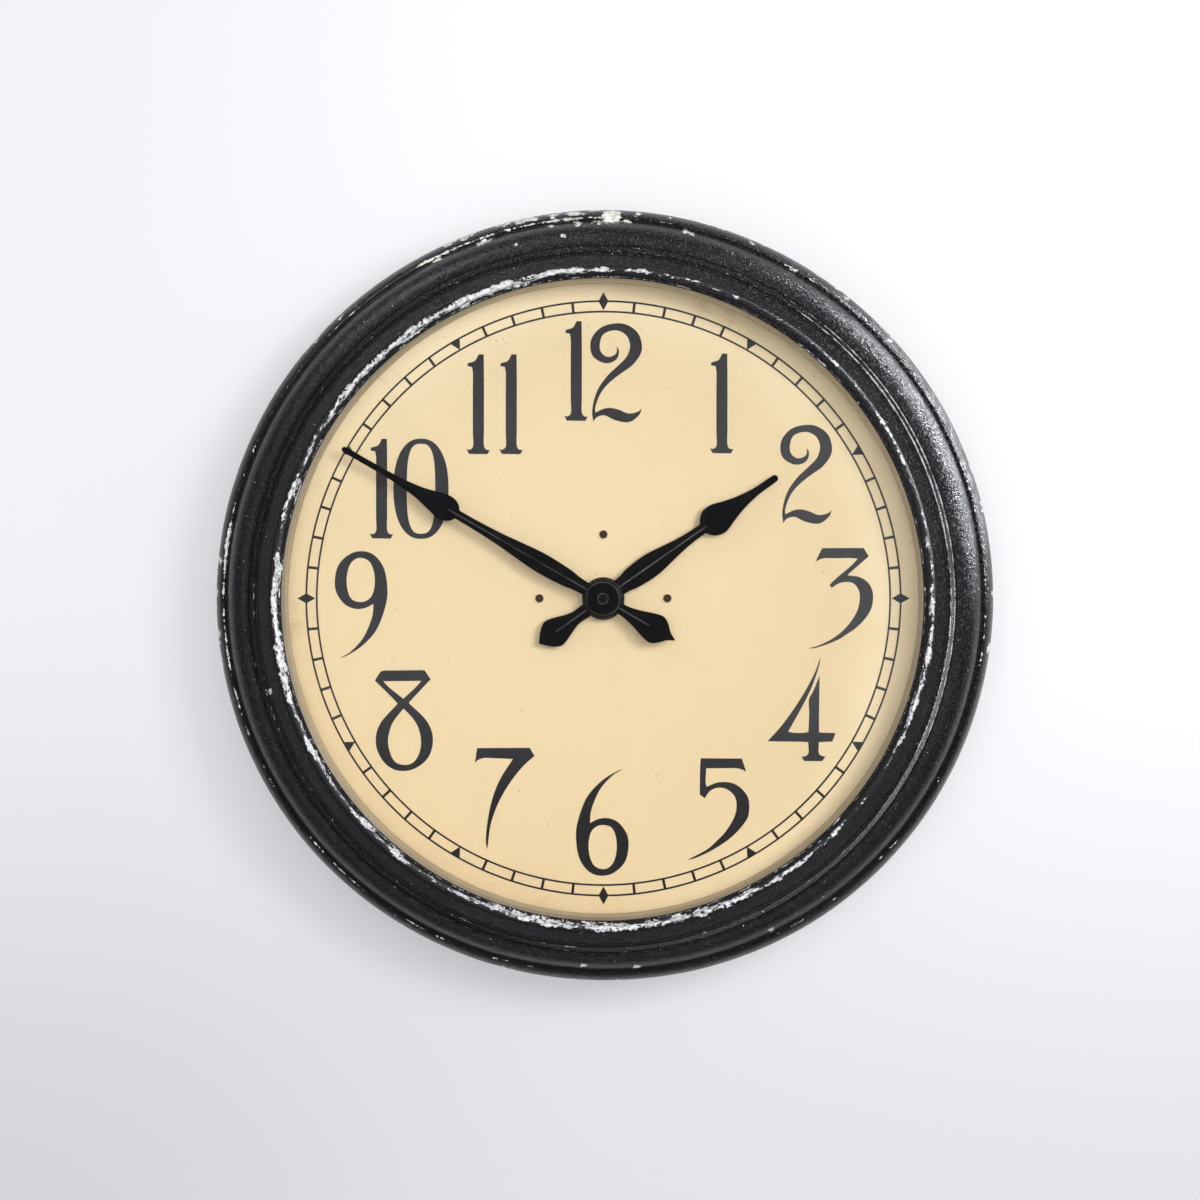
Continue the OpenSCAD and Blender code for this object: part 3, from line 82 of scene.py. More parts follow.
handSettings = {
    "minute": {
        "base": 79.0, "turn": 300.0, "bore": 5.5, "eye": 12.5, "ribs": ((-38.0, -11.9), (11.9, 128.0)),
        "stations": [(.3, -59.8), (3.2, -54.6), (7.2, -50.6), (10.2, -46.4), (10.6, -42), (9, -36),
                     (6.4, -28), (4.5, -20), (4.2, -13), (4.9, 18), (6.4, 30), (7.2, 44), (7.1, 56),
                     (5.9, 70), (4.6, 84), (3.8, 98), (3.4, 112), (3.4, 121.3)],
        "spade": [(3.4, 121.3), (6.2, 123.4), (8.4, 127), (9.2, 131.5), (8.6, 136.5), (6.5, 144.5),
                  (4.4, 154), (3, 166), (2.4, 178), (2.15, 195), (2.15, 213.5), (1.6, 216.3), (.2, 217.2)],
    },
    "hour": {
        "base": 71.0, "turn": 55.0, "bore": 7.2, "eye": 15.4, "ribs": ((-42.0, -14.4), (14.4, 91.0)),
        "stations": [(.3, -56.6), (3.5, -54), (7.4, -50.2), (10.1, -46), (10.6, -42.2), (9, -36.8),
                     (6.6, -30.6), (5, -25), (4.9, -19), (6.2, 16), (7.8, 25), (8.7, 38), (8.2, 47),
                     (6.4, 58), (4.8, 69), (4, 79), (3.9, 88)],
        "spade": [(3.9, 88), (7.2, 90.4), (10.2, 94.4), (11.4, 99.6), (10.6, 104), (8.2, 110.6),
                  (5.6, 119.4), (3.7, 129), (2.8, 138), (2.65, 150), (2, 153), (.2, 154)],
    },
    "edge": 0.72, "ridge": 1.14, "rib": 0.85, "ribSides": 20, "apart": 0.06, "sharp": 22,
    "columns": (0.0, 0.2, 0.4, 0.6, 0.8, 0.94, 1.0),
}
# Numerals as outlines in mm, a star before each corner and smooth curves between
glyphs = {
    "1": ["*9,72.6 6.4,68 *1.1,66.2 *0.9,64 *4.1,63.5 4.8,59.7 4.8,47.3 4.8,28.7 4.8,15.5 4.7,5.2 2.3,3.3 "
          "*0,3.9 *2,0.2 *15.4,0 *17.3,3.1 14.8,3.3 13.1,5.4 12.9,18 12.9,36.6 12.9,54.3 *12.7,72.6"],
    "2": ["*18.3,55.1 18.8,52.5 17.9,49.5 13,47.4 9.2,48.7 6.4,53.1 8.7,63.5 18.1,66.7 25.2,63.4 28.2,57 "
          "27.6,51.3 25.2,46.6 18.8,40.2 12.3,34.1 4.4,22.7 0.8,8.4 *1.5,0.2 4.1,3.4 9.6,4.9 17,1.5 27.9,0 "
          "35.4,5.8 *36.8,10.3 34.9,8 29.4,6.3 25.6,6.6 21,8.7 14.3,10.3 9.3,9.7 *3.2,6.9 3,10.2 6.6,20.2 "
          "11.7,27 20.6,34.5 30.6,41.9 36.9,52.2 34.6,63.9 28.5,69.5 21.1,71.8 7.7,69 0,59.8 0.9,48.4 "
          "9.6,42.9 15.9,43.8 19.3,46.9 20.2,52.2"],
    "3": ["*10.7,73 *5.6,62.9 9.5,65 13.8,65.8 19.7,65.6 30.9,65.8 *36.5,65.3 31.7,60.2 21.6,51.7 "
          "*15.8,46.2 *17.6,44.1 23.6,47.7 32.7,47.7 37.5,41.5 36.7,29 29.5,17 19.2,7.9 7.3,2 *0,0 5.5,0.4 "
          "22,6.3 29.6,11.1 34.4,14.3 41.4,21.1 44.7,25.8 46.7,30.1 47.6,39.9 44.4,47.5 37.6,52 *29.4,53.2 "
          "29.8,54.2 32.8,56.8 *44.6,67.1 *40.8,73.1"],
    "4": ["*0,14.5 7.2,14.3 24.1,14.1 *29.5,13.8 29.5,5.2 26.1,3.3 *24.4,3.6 *26.5,0.1 *39.7,0 *42.4,3.7 "
          "40.2,3.6 37.5,5.4 *37.4,13.8 *47.1,14.3 *49.5,20.4 *37.5,20.9 37.4,31.2 37.7,47.9 *37.9,62.3 "
          "33,50.4 30.2,45.2 30.3,34.9 *29.7,21.3 27.1,20.7 18.6,20.7 *15.1,21.5 22,33.8 28.5,46 32.9,55.7 "
          "37.8,70.4 *38.6,76.2 34.3,64.2 26.6,49.7 18.8,37.5 9.5,25"],
    "5": ["*9.6,73.8 9.2,67.3 *8.9,47.4 *12.6,44.7 16.2,49.8 21.4,52.2 27.9,51.6 34.6,45.5 35.1,34.2 "
          "27.9,20.7 20.9,13.4 15.1,8.1 3.6,1.8 *0,0 4.7,0.9 18.1,7.1 32.2,16.6 42.6,28.4 44.5,33 43.9,45.6 "
          "34.8,54.9 23.2,56.4 *13.8,53.1 13.2,56.8 *13.7,66.5 29.8,66.6 35.1,66.6 39.5,65.7 *42.8,63.8 "
          "*39.5,73.6"],
    "7": ["*1.6,73.7 *0,62.9 2.4,65 6,66.4 12.6,66.4 *27.6,65.7 18.8,52 14.8,43.1 11.7,33.2 9.3,21 8.1,10.5 "
          "8.1,4.1 *9,0 9.5,3.9 11.2,16.7 14,26.2 18.3,36.3 25.8,48.9 35.1,60.5 *43.4,68 *39.9,73.9"],
    "8": ["*0,65.8 12.7,53.3 *16.7,49 7.9,39.7 5.2,36.5 1.6,29.2 0.7,21 2.3,13.8 7.7,5.3 14.2,1.1 21.4,0 "
          "28.6,1.6 35.4,6 40,11.9 42.3,21.5 41.3,29.2 37.1,37.3 *24.7,49.5 28.4,53.7 *40.7,66.8 *36.1,73.4 "
          "*6.1,73.1 4.1,72",
          "*6.2,65.3 9.7,61.5 *20.7,52.6 30.9,62.1 *33.8,65.6",
          "*20.7,45.3 14.2,37 11.8,32.4 9.6,20.3 14.6,6.9 22.2,4.4 27.5,6 31.1,10.2 33.4,17.2 33.4,24.5 "
          "31.1,32.7 27.9,37.9 22.6,43.8"],
    "9": ["*28.1,39.1 27.6,31.7 25.2,23.9 20.2,13.7 11,3.9 *4.3,0 6.3,0.4 12.8,3.7 19.1,7.9 27.9,16.7 "
          "32.6,24.7 37.8,41.4 38.3,50.5 36.1,63.9 31.4,72 25.9,76.1 19.6,77.4 12.4,76 5.2,70.7 1.6,64.7 "
          "0,53.3 1.6,46.4 7.4,38.6 15.2,35.4 22.5,36.2",
          "17.2,72.5 11.3,68 8.6,54.6 12.2,42.6 20.3,40.5 26.7,44.6 29.1,57.9 25,70"],
}
numeralSettings = {
    "front": 62.05, "thick": 0.12,
    "places": [("1", -28.6, 129), ("2", -9, 128.2), ("1", 77.3, 105.4), ("2", 129.2, 54.4),
               ("3", 148.4, -36.5), ("4", 119.3, -118.4), ("5", 61.1, -190.1), ("7", -93.5, -182.6),
               ("8", -166.3, -125.6), ("9", -195.4, -43.1), ("1", -170.2, 43.4), ("1", -99.8, 104.8),
               ("1", -75.9, 104.8)],
    "six": {"corner": (-20.0, -201.8), "size": (38.3, 77.4)},
    "nought": {"middle": (-132.7, 79.7), "outside": (20.05, 36.5, 2.27), "inside": (10.3, 32.7, 3.0)},
}
# Wear by angle clockwise from twelve, in degrees: how much of each edge has lost its paint. The fillet's
# two lines are worn edges painted bright as painted highlights, and the specks between them painted glints.
# Drift moves the strip along the bead, shade is where the paint lies dull and the quirk is darkened as
# painted shade, gritty where it is rough and light specks are painted on as painted sparkle
wearSettings = {
    "bead": [(0, .5), (4, .3), (8, .22), (22, .18), (35, .22), (58, .3), (62, .55), (67, .55), (70, .25),
             (76, .28), (80, .5), (100, .62), (107, .75), (112, .5), (125, .3), (140, .35), (150, .4),
             (153, .8), (160, .95), (188, .95), (199, .7), (203, .45), (215, .42), (235, .5), (248, .75),
             (262, .8), (266, 1), (277, 1), (280, .32), (290, .42), (298, .36), (302, .72), (330, 1),
             (345, .9), (358, .75)],
    "lip": [(0, .42), (60, .3), (120, .3), (200, .35), (250, .45), (350, .45)],
    "fillet": [(0, 0), (30, .3), (45, .8), (80, .85), (105, .6), (120, .25), (140, 0)],
    "between": [(0, 0), (66, 0), (82, .15), (92, .38), (122, .34), (138, .12), (200, 0)],
    "drift": [(0, .7), (50, 1), (140, .5), (230, 0), (320, .5)],
    "arris": [(0, .7), (2.5, .7), (4, .12), (60, .1), (254, .1), (255, .8), (257.5, .8), (259, .15),
              (260, .8), (263.5, .8), (265, .2), (267, .85), (270.5, .85), (272, .3), (276, .9), (281, .9),
              (283, .15), (325, .1), (333, .6), (342, .7)],
    "rim": [(0, .5), (3, .3), (10, .2), (60, .22), (90, .1), (170, .1), (178, .45), (196, .45), (200, .12),
            (255, .15), (262, .5), (280, .5), (284, .12), (325, .25), (340, .5), (359, .55)],
    "shade": [(0, .25), (30, 0), (105, 0), (140, 1), (310, 1), (335, .5)],
    "gritAndSparkle": [(0, .6), (30, .9), (50, 1), (78, 1), (95, .5), (115, .3), (200, .3), (300, .3), (340, .45)],
}
# Single chips: x and y in the 1200 picture, depth, half width across and along the ring, 1 for bare metal
chipSettings = [(449, 245, 74, 2, 4.5, 0), (466, 239, 74, 2.2, 4, 0), (485, 243, 88, 1.8, 6.5, 0),
                (438, 261, 88, 1.4, 4.5, 0), (527, 222, 74, 2.4, 8.5, 0), (554, 218, 74, 1.8, 3, 0),
                (576, 216, 74, 1.4, 7, 0), (578, 225, 88, 2, 2.6, 0), (612, 218, 78, 5.5, 7, 0),
                (600, 223, 88, 1.1, 6, 0), (627, 222, 88, 1.3, 4, 0), (639, 216, 76, 2, 2.5, 0),
                (670, 220, 76, 1, 1.8, 0), (686, 233, 88, 1.3, 3.6, 0), (692, 236, 90, 1.2, 1.8, 0),
                (752, 243, 84, 1.6, 2.2, 0), (508, 232, 84, 1.2, 2.4, 0), (551, 228, 88, 1.1, 2.4, 0),
                (564, 238, 92, 1.3, 1.8, 0), (518, 247, 92, 1.3, 1.8, 0), (845, 299, 74, 1, 3, 0),
                (888, 341, 74, 1.1, 2.4, 0), (793, 271, 84, .8, 3.4, 0), (341, 318, 88, 1.4, 2.2, 0),
                (221, 560, 76, 2.2, 3, 0), (221, 633, 76, 2.2, 3, 0), (269, 691, 104, 1.3, 1.6, 1),
                (771, 928, 92, 1.6, 2, 1), (637, 966, 90, 1.8, 2.6, 0), (584, 963, 90, 1.3, 1.8, 0),
                (992, 593, 76, 1.7, 2, 0), (988, 648, 78, 2.2, 3.2, 0)]
# Colours are linear. A band of radius or depth is start, full, end of full, gone; other ranges are from, to
# and, where they don't run from 0 to 1, the two values
enamelSettings = {
    "bead": 231.9, "beadDrift": 3.8, "lip": 229.6, "lines": (247.95, 250.9), "arris": 274.5, "rim": 282.0,
    "pull": 7.0, "front": (84.0, 86.0), "side": (60.0, 75.0, 0.15, 1.0), "throat": (232.0, 230.5),
    "shoulder": (254.0, 262.0, 0.0, 0.8), "between": (247.6, 248.2, 250.8, 251.4),
    "quirk": (245.6, 246.8, 253.2, 254.6), "dull": (228.9, 229.6, 237.5, 239.0),
    "dust": ((0.010, 0.010, 0.0115), (0.014, 0.0137, 0.0137)), "black": (0.005, 0.005, 0.006),
    # Light specks on the rough paint are painted sparkle; the lines' colour is the fillet's painted
    # highlights and glints
    "paintedSparkle": (0.055, 0.055, 0.061), "line": (0.66, 0.67, 0.72), "specular": 0.4,
    "metal": ((0.27, 0.275, 0.285), (0.62, 0.62, 0.63)), "primer": ((0.36, 0.335, 0.30), (0.68, 0.67, 0.63)),
}
dialSettings = {
    "cream": ((0.790, 0.622, 0.402), (0.780, 0.600, 0.375)), "towardsBottom": (0.12, -0.22),
    "mottled": (0.800, 0.617, 0.407), "edge": (190.0, 268.0), "dark": (0.61, 0.45, 0.27),
    # The paler rim colour is painted light, towards the top and right, against the bezel's shade there
    "darkBy": [(0, 0), (100, 0), (130, .15), (180, .4), (270, .2), (320, 0)], "clear": (0.93, 0.79, 0.57),
    "paintedLightBy": [(0, 1), (100, 1), (140, .5), (190, 0), (280, .2), (330, .9)], "stain": (0.33, 0.19, 0.09),
    "stainFrom": (196.0, 230.0),
    "stainBy": [(0, .2), (45, .5), (75, 1), (125, 1), (160, .4), (200, .35), (280, .3)],
    "fly": (0.30, 0.20, 0.12), "hole": (0.42, 0.27, 0.15), "holeEdge": (15.5, 11.0, 0.0, 0.35),
}
# The ink's painted sheen towards the right and its darkening towards the bottom are placed in metres
inkSettings = {
    "black": ((0.026, 0.025, 0.029), (0.050, 0.048, 0.056)), "rubbed": (0.55, 0.45, 0.32), "rough": 0.42,
    "paintedSheen": (0.062, 0.061, 0.069), "paintedSheenFrom": (0.02, 0.18), "low": (0.012, 0.011, 0.012),
    "lowFrom": (-0.05, -0.17, 0.0, 0.8),
}
ringSettings = {
    "inner": ((0.40, 0.325, 0.24), (0.68, 0.56, 0.42)), "outer": ((0.22, 0.195, 0.16), (0.47, 0.42, 0.35)),
    # Both bands are lighter or darker by angle as painted light and shade, where the light falls on the ring
    "innerLitBy": [(0, 1), (30, .7), (60, .6), (90, .15), (120, .05), (150, .15), (180, .15), (210, .1),
                (240, .35), (270, .3), (300, .05), (330, .35)],
    "outerLitBy": [(0, .9), (30, .45), (60, .85), (90, .8), (120, .4), (150, .4), (180, 0), (210, .2),
                (240, .7), (270, .25), (300, .6), (330, .3)],
    "outerFrom": (82.0, 86.0), "dust": (0.36, 0.29, 0.21), "line": (0.2, 0.17, 0.14),
    # The ring is darker towards its foot at the dial
    "lineAt": (82.6, 83.4, 84.2, 85.0), "darkened": (0.30, 0.22, 0.14), "darkenedFrom": (68.0, 63.0, 0.0, 0.5),
    "rough": 0.5,
}
# Painted highlights: paler paint on the crests of both hands' ribs outside the front eye, and on the eye's
# edge
paintedHighlightSettings = {"colour": (0.05, 0.05, 0.055), "outside": (13.0, 13.6), "eye": (12.0, 12.1, 12.6, 12.7),
                  "crests": ((80.7, 80.8, 81.2, 81.3), (72.7, 72.8, 73.2, 73.3))}
glassSettings = {"colour": (0.975, 0.99, 0.98), "shadow": (0.965, 0.98, 0.97), "refraction": 1.45}
wireSettings = {"colours": ((0.20, 0.055, 0.02), (0.62, 0.25, 0.10)), "turns": 520.0, "metallic": 0.8}


# Node and mesh helpers
def put(home, kind, inputs=None, **props):
    # Home is the tree, or a node or socket in it. Names without a prefix are shader nodes
    node = home.id_data.nodes.new(kind if "Node" in kind else "ShaderNode" + kind)
    for key, value in props.items():
        setattr(node, key, value)
    for key, value in (inputs or {}).items():
        join(value, node.inputs[key])
    return node


def join(value, socket):
    if isinstance(value, bpy.types.Node):
        value = value.outputs[0]
    if isinstance(value, bpy.types.NodeSocket):
        socket.id_data.links.new(value, socket)
    elif isinstance(value, tuple) and socket.type == "RGBA":
        socket.default_value = (*value[:3], 1.0)
    else:
        socket.default_value = value


def homeOf(values):
    return next(v for v in values if isinstance(v, (bpy.types.NodeSocket, bpy.types.Node)))


def calc(operation, *values):
    return put(homeOf(values), "Math", dict(enumerate(values)), operation=operation).outputs[0]


def times(a, b):
    return calc("MULTIPLY", a, b)


def plus(a, b):
    return calc("ADD", a, b)


def minus(a, b):
    return calc("SUBTRACT", a, b)


def larger(a, b):
    return calc("MAXIMUM", a, b)


def vector(operation, *values):
    return put(homeOf(values), "VectorMath", dict(enumerate(values)), operation=operation).outputs[0]


def noise(place, scale, detail=3.0, rough=0.55, warp=0.0, offset=(0, 0, 0)):
    inputs = {"Vector": vector("ADD", place, offset), "Scale": scale, "Detail": detail,
              "Roughness": rough, "Distortion": warp}
    return put(place, "TexNoise", inputs).outputs["Fac"]


def spread(value, low, high, to0=0.0, to1=1.0):
    inputs = {"Value": value, "From Min": low, "From Max": high, "To Min": to0, "To Max": to1}
    return put(value, "MapRange", inputs, interpolation_type="SMOOTHSTEP").outputs[0]


def band(value, start, full, end, gone):
    return times(spread(value, start, full), spread(value, gone, end))


def mixed(factor, a, b):
    return put(factor, "Mix", {0: factor, 6: a, 7: b}, data_type="RGBA").outputs[2]


def split(place):
    return put(place, "SeparateXYZ", {0: place}).outputs


def newGroup(name, inputs, outputs):
    tree = bpy.data.node_groups.new(name, "ShaderNodeTree")
    for label, kind, value in inputs:
        socket = tree.interface.new_socket(label, in_out="INPUT", socket_type="NodeSocket" + kind)
        if value is not None:
            socket.default_value = value
    for label in outputs:
        tree.interface.new_socket(label, in_out="OUTPUT", socket_type="NodeSocketFloat")
    return tree, put(tree, "NodeGroupInput").outputs, put(tree, "NodeGroupOutput").inputs


def useGroup(group, inputs):
    return put(inputs["Place"], "Group", inputs, node_tree=group).outputs


def newMaterial(name):
    material = bpy.data.materials.new(name)
    material.use_nodes = True
    tree = material.node_tree
    tree.nodes.clear()
    shader = put(tree, "BsdfPrincipled")
    put(tree, "OutputMaterial", {"Surface": shader})
    place = put(tree, "TexCoord").outputs["Object"]
    return material, shader, place


def finish(shader, values, height=None, strength=1.0, distance=0.001):
    # Values go to the shader's own sockets, and a height becomes its bump
    if height is not None:
        inputs = {"Strength": strength, "Distance": distance, "Height": height}
        values = {**values, "Normal": put(shader, "Bump", inputs)}
    for name, value in values.items():
        join(value, shader.inputs[name])


def showBoth(factor, first, second):
    # Both shaders, by the factor, in place of the first alone
    both = put(first, "MixShader", {0: factor, 1: first, 2: second})
    output = [n for n in first.id_data.nodes if n.bl_idname == "ShaderNodeOutputMaterial"][0]
    join(both, output.inputs["Surface"])


def meshObject(name, verts, faces, material, smooth=None):
    mesh = bpy.data.meshes.new(name)
    mesh.from_pydata(verts, [], faces)
    mesh.validate()
    obj = bpy.data.objects.new(name, mesh)
    bpy.context.scene.collection.objects.link(obj)
    obj.data.materials.append(material)
    if smooth is not None:
        mesh.shade_smooth()
        mesh.set_sharp_from_angle(angle=math.radians(smooth))
    return obj


def fromPhoto(x, y, depth):
    # Where a point of the 1200 picture lies, in mm, if it is that far in front of the wall
    place, shift, size = cameraSettings["place"], cameraSettings["shift"], cameraSettings["picture"]
    reach = -place[1] - depth * mm
    scale = size * cameraSettings["lens"] / cameraSettings["sensor"]
    return ((place[0] + (x - size / 2 + shift[0] * size) * reach / scale) / mm,
            (place[2] - (y - size / 2 - shift[1] * size) * reach / scale) / mm)


# Camera
camera = bpy.data.objects.new("camera", bpy.data.cameras.new("camera"))
bpy.context.scene.collection.objects.link(camera)
camera.location = cameraSettings["place"]
camera.rotation_euler = (math.pi / 2, 0, 0)
camera.data.lens = cameraSettings["lens"]
camera.data.sensor_width = cameraSettings["sensor"]
camera.data.shift_x, camera.data.shift_y = cameraSettings["shift"]
camera.data.clip_end = 50
bpy.context.scene.camera = camera
bpy.context.scene.view_settings.view_transform = "Standard"

# Radius and depth in mm, and the share of a turn clockwise from twelve
ringPlace, given, out = newGroup("ringPlace", [("Place", "Vector", None)], ["Radius", "Turn", "Depth"])
parts = split(given[0])
across, upward = times(parts[0], 1000), times(parts[2], 1000)
squares = plus(times(across, across), times(upward, upward))
turned = times(calc("ARCTAN2", across, upward), 1 / (2 * math.pi))
join(calc("SQRT", squares), out[0])
join(calc("FRACT", plus(turned, 1.0)), out[1])
join(times(parts[1], -1000), out[2])

# Mask is 1 where an edge has lost its paint, in a strip along it, frayed by noise drawn out along the ring
edgeWear, given, out = newGroup(
    "edgeWear", [("Place", "Vector", None)] + [(label, "Float", value) for label, value in (
        ("Radius", 0.0), ("Depth", 0.0), ("Edge", 0.0), ("Width", 1.0), ("Fray", 1.0), ("Amount", 0.5),
        ("Grain", 300.0))], ["Mask"])
edge, wide, grain = given["Edge"], given["Width"], given["Grain"]
away = minus(given["Radius"], edge)
ray = vector("NORMALIZE", vector("MULTIPLY", given["Place"], (1, 0, 1)))
reach = times(edge, 0.65 * mm)
ray = put(edgeWear, "VectorMath", {0: ray, "Scale": reach}, operation="SCALE")
lift = times(plus(away, given["Depth"]), mm)
strip = vector("ADD", ray, put(edgeWear, "CombineXYZ", {1: lift}))


def swing(scale, detail, offset, size):
    value = noise(strip, scale, detail, 0.6, offset=offset)
    return times(minus(spread(value, 0.28, 0.72), 0.5), size)


fine = swing(times(grain, 1.5), 5.0, (0, 0, 0), 1.15)
middle = swing(times(grain, 0.3), 3.0, (2, 1, 3), 1.3)
broad = swing(60.0, 2.0, (3.1, 0.4, 1.7), 1.0)
share = calc("MULTIPLY_ADD", given["Amount"], 1.7, -0.55)
share = plus(plus(share, broad), middle)
bend = swing(times(grain, 0.22), 2.0, (7, 2, 5), given["Fray"])
gap = calc("ABSOLUTE", plus(away, bend))
inside = plus(times(share, wide), times(fine, wide))
inside = spread(minus(inside, gap), 0.0, 0.2)
holes = noise(strip, times(grain, 0.9), 3.0, 0.6, offset=(9, 4, 4))
join(times(inside, spread(holes, 0.61, 0.57)), out[0])

# One chip: an oval round a point, long along the ring
oneChip, given, out = newGroup("oneChip", [("Place", "Vector", None), ("Middle", "Vector", None),
                                           ("Across", "Float", 1.0), ("Along", "Float", 1.0)], ["Mask"])
apart = vector("SUBTRACT", given["Place"], given["Middle"])
outward = vector("NORMALIZE", given["Middle"])
sideways = vector("CROSS_PRODUCT", outward, (0, 1, 0))
reached = []
for axis, label in ((outward, "Across"), (sideways, "Along")):
    along = put(oneChip, "VectorMath", {0: apart, 1: axis}, operation="DOT_PRODUCT")
    share = calc("DIVIDE", along.outputs["Value"], given[label])
    reached.append(times(share, share))
join(spread(plus(*reached), 1.15, 0.85), out[0])


def weights(turn, points):
    node = put(turn, "FloatCurve", {"Value": turn})
    curve = node.mapping.curves[0]
    for end in (0, 1):
        curve.points[end].location = (end, points[0][1])
    for angle, value in points[1:]:
        curve.points.new(angle / 360, value)
    for p in curve.points:
        p.handle_type = "VECTOR"
    node.mapping.update()
    return node.outputs[0]


def chipMask(place, chips):
    inputs = {"Vector": place, "Scale": 230.0, "Detail": 4.0, "Roughness": 0.6}
    wobble = put(place, "TexNoise", inputs)
    shift = vector("SUBTRACT", wobble.outputs["Color"], (0.5, 0.5, 0.5))
    moved = vector("MULTIPLY_ADD", shift, (0.009, 0, 0.009), place)
    flat = vector("MULTIPLY", moved, (1000, 0, 1000))
    total = None
    for x, y, depth, across, along, _ in chips:
        px, pz = fromPhoto(x, y, depth)
        mask = useGroup(oneChip, {"Place": flat, "Middle": (px, 0, pz), "Across": across, "Along": along})[0]
        total = mask if total is None else larger(total, mask)
    return total


# Materials
def enamelMaterial(s, by):
    material, shader, place = newMaterial("blackEnamel")
    radius, turn, depth = useGroup(ringPlace, {"Place": place})
    front = spread(depth, *s["front"])
    side = spread(depth, *s["side"])

    def wear(name, edge, width, fray, grain):
        # The edge is a radius in mm, or a value where the strip drifts off centre
        amount = times(weights(turn, by[name]), side)
        return useGroup(edgeWear, {"Place": place, "Radius": radius, "Depth": depth, "Edge": edge,
                                   "Width": width, "Fray": fray, "Amount": amount, "Grain": grain})[0]

    def grained(scale, detail, rough, low, high, offset=(0, 0, 0)):
        return spread(noise(place, scale, detail, rough, offset=offset), low, high)

    drift = calc("MULTIPLY_ADD", weights(turn, by["drift"]), s["beadDrift"], s["bead"])
    strips = larger(wear("bead", drift, 1.9, 1.7, 440.0), wear("lip", s["lip"], 0.5, 0.6, 900.0))
    pulled = weights(turn, [(a, w / s["pull"]) for a, w in bezelSettings["drawnIn"][:-1]])
    arris, rim = (calc("MULTIPLY_ADD", pulled, -s["pull"], s[name]) for name in ("arris", "rim"))
    metal = larger(times(strips, front), chipMask(place, [c for c in chipSettings if c[5]]))
    primer = larger(wear("arris", arris, 1.0, 0.6, 500.0), wear("rim", rim, 2.6, 1.6, 300.0))
    primer = larger(primer, chipMask(place, [c for c in chipSettings if not c[5]]))
    primer = larger(primer, grained(520.0, 2.0, 0.6, 0.735, 0.75, (5, 5, 5)))
    # The fillet's two lines: worn edges painted bright where the light falls, as painted highlights
    lines = [wear("fillet", edge, width, 0.1, 1100.0) for edge, width in zip(s["lines"], (0.5, 0.42))]
    # Painted glints: fine bright specks between the two lines of the fillet
    between = times(band(radius, *s["between"]), weights(turn, by["between"]))
    between = times(between, grained(1300.0, 2.0, 0.6, 0.46, 0.58, (3, 3, 8)))
    # Worn here holds only the fillet's painted highlights and glints
    worn = times(larger(larger(*lines), between), front)
    shade, gritAndSparkle = weights(turn, by["shade"]), weights(turn, by["gritAndSparkle"])
    # Pure black where the paint is clean, and in the quirk on the shaded side as painted shade
    cleanAndShade = larger(spread(radius, *s["throat"]), spread(radius, *s["shoulder"]))
    cleanAndShade = larger(cleanAndShade, times(band(radius, *s["quirk"]), shade))
    dark = mixed(cleanAndShade, mixed(grained(9.0, 4.0, 0.6, 0.35, 0.75), *s["dust"]), s["black"])
    # Light specks painted on the rough paint, most on the upper right, as painted sparkle
    dark = mixed(times(grained(720.0, 2.0, 0.6, 0.52, 0.66, (1, 6, 2)), gritAndSparkle), dark, s["paintedSparkle"])
    dark = mixed(worn, dark, s["line"])
    bright = mixed(grained(420.0, 3.0, 0.55, 0.3, 0.6), *s["metal"])
    pale = mixed(grained(260.0, 3.0, 0.55, 0.3, 0.6), *s["primer"])
    bare = larger(metal, primer)
    rough = spread(noise(place, 30.0, 5.0, 0.65), 0.3, 0.7, 0.13, 0.21)
    rough = calc("MULTIPLY_ADD", band(radius, *s["dull"]), 0.18, rough)
    rough = calc("MULTIPLY_ADD", shade, 0.2, rough)
    peel = times(noise(place, 240.0, 2.0, 0.5), 0.5)
    grit = times(noise(place, 560.0, 3.0, 0.7), times(gritAndSparkle, 0.9))
    finish(shader, {
        "Base Color": mixed(metal, mixed(primer, dark, pale), bright),
        "Metallic": larger(times(metal, 0.12), times(worn, 0.3)),
        "Specular IOR Level": s["specular"],
        "Roughness": larger(rough, times(bare, 0.5)),
    }, minus(plus(peel, grit), times(bare, 0.4)))
    return material


def dialMaterial(s):
    material, shader, place = newMaterial("agedDial")
    radius, turn, _ = useGroup(ringPlace, {"Place": place})
    edge = spread(plus(radius, times(noise(place, 14.0, 4.0), 46.0)), *s["edge"])
    # Slightly darker and yellower towards the bottom
    tone = mixed(spread(split(place)[2], *s["towardsBottom"]), *s["cream"])
    uneven = spread(noise(place, 7.0, 5.0, 0.6), 0.42, 0.72, 0.0, 0.5)
    tone = mixed(uneven, tone, s["mottled"])
    # Darker towards the rim, most at the bottom and left
    tone = mixed(times(edge, weights(turn, s["darkBy"])), tone, s["dark"])
    # Painted light: the rim paler towards the top and right, against the bezel's shade there
    tone = mixed(times(edge, weights(turn, s["paintedLightBy"])), tone, s["clear"])
    stain = spread(noise(place, 22.0, 5.0, 0.7, 0.6, (1.2, 0, 4.4)), 0.60, 0.74)
    stain = times(stain, spread(radius, *s["stainFrom"]))
    stain = times(stain, times(weights(turn, s["stainBy"]), 0.8))
    fly = spread(noise(place, 430.0, 1.0, 0.5, offset=(7, 1, 2)), 0.772, 0.79)
    tone = mixed(times(fly, 0.55), mixed(stain, tone, s["stain"]), s["fly"])
    finish(shader, {
        "Base Color": mixed(spread(radius, *s["holeEdge"]), tone, s["hole"]),
        "Roughness": spread(noise(place, 60.0, 3.0), 0.3, 0.7, 0.38, 0.52),
    }, noise(place, 700.0, 3.0), 0.16, 0.0001)
    return material


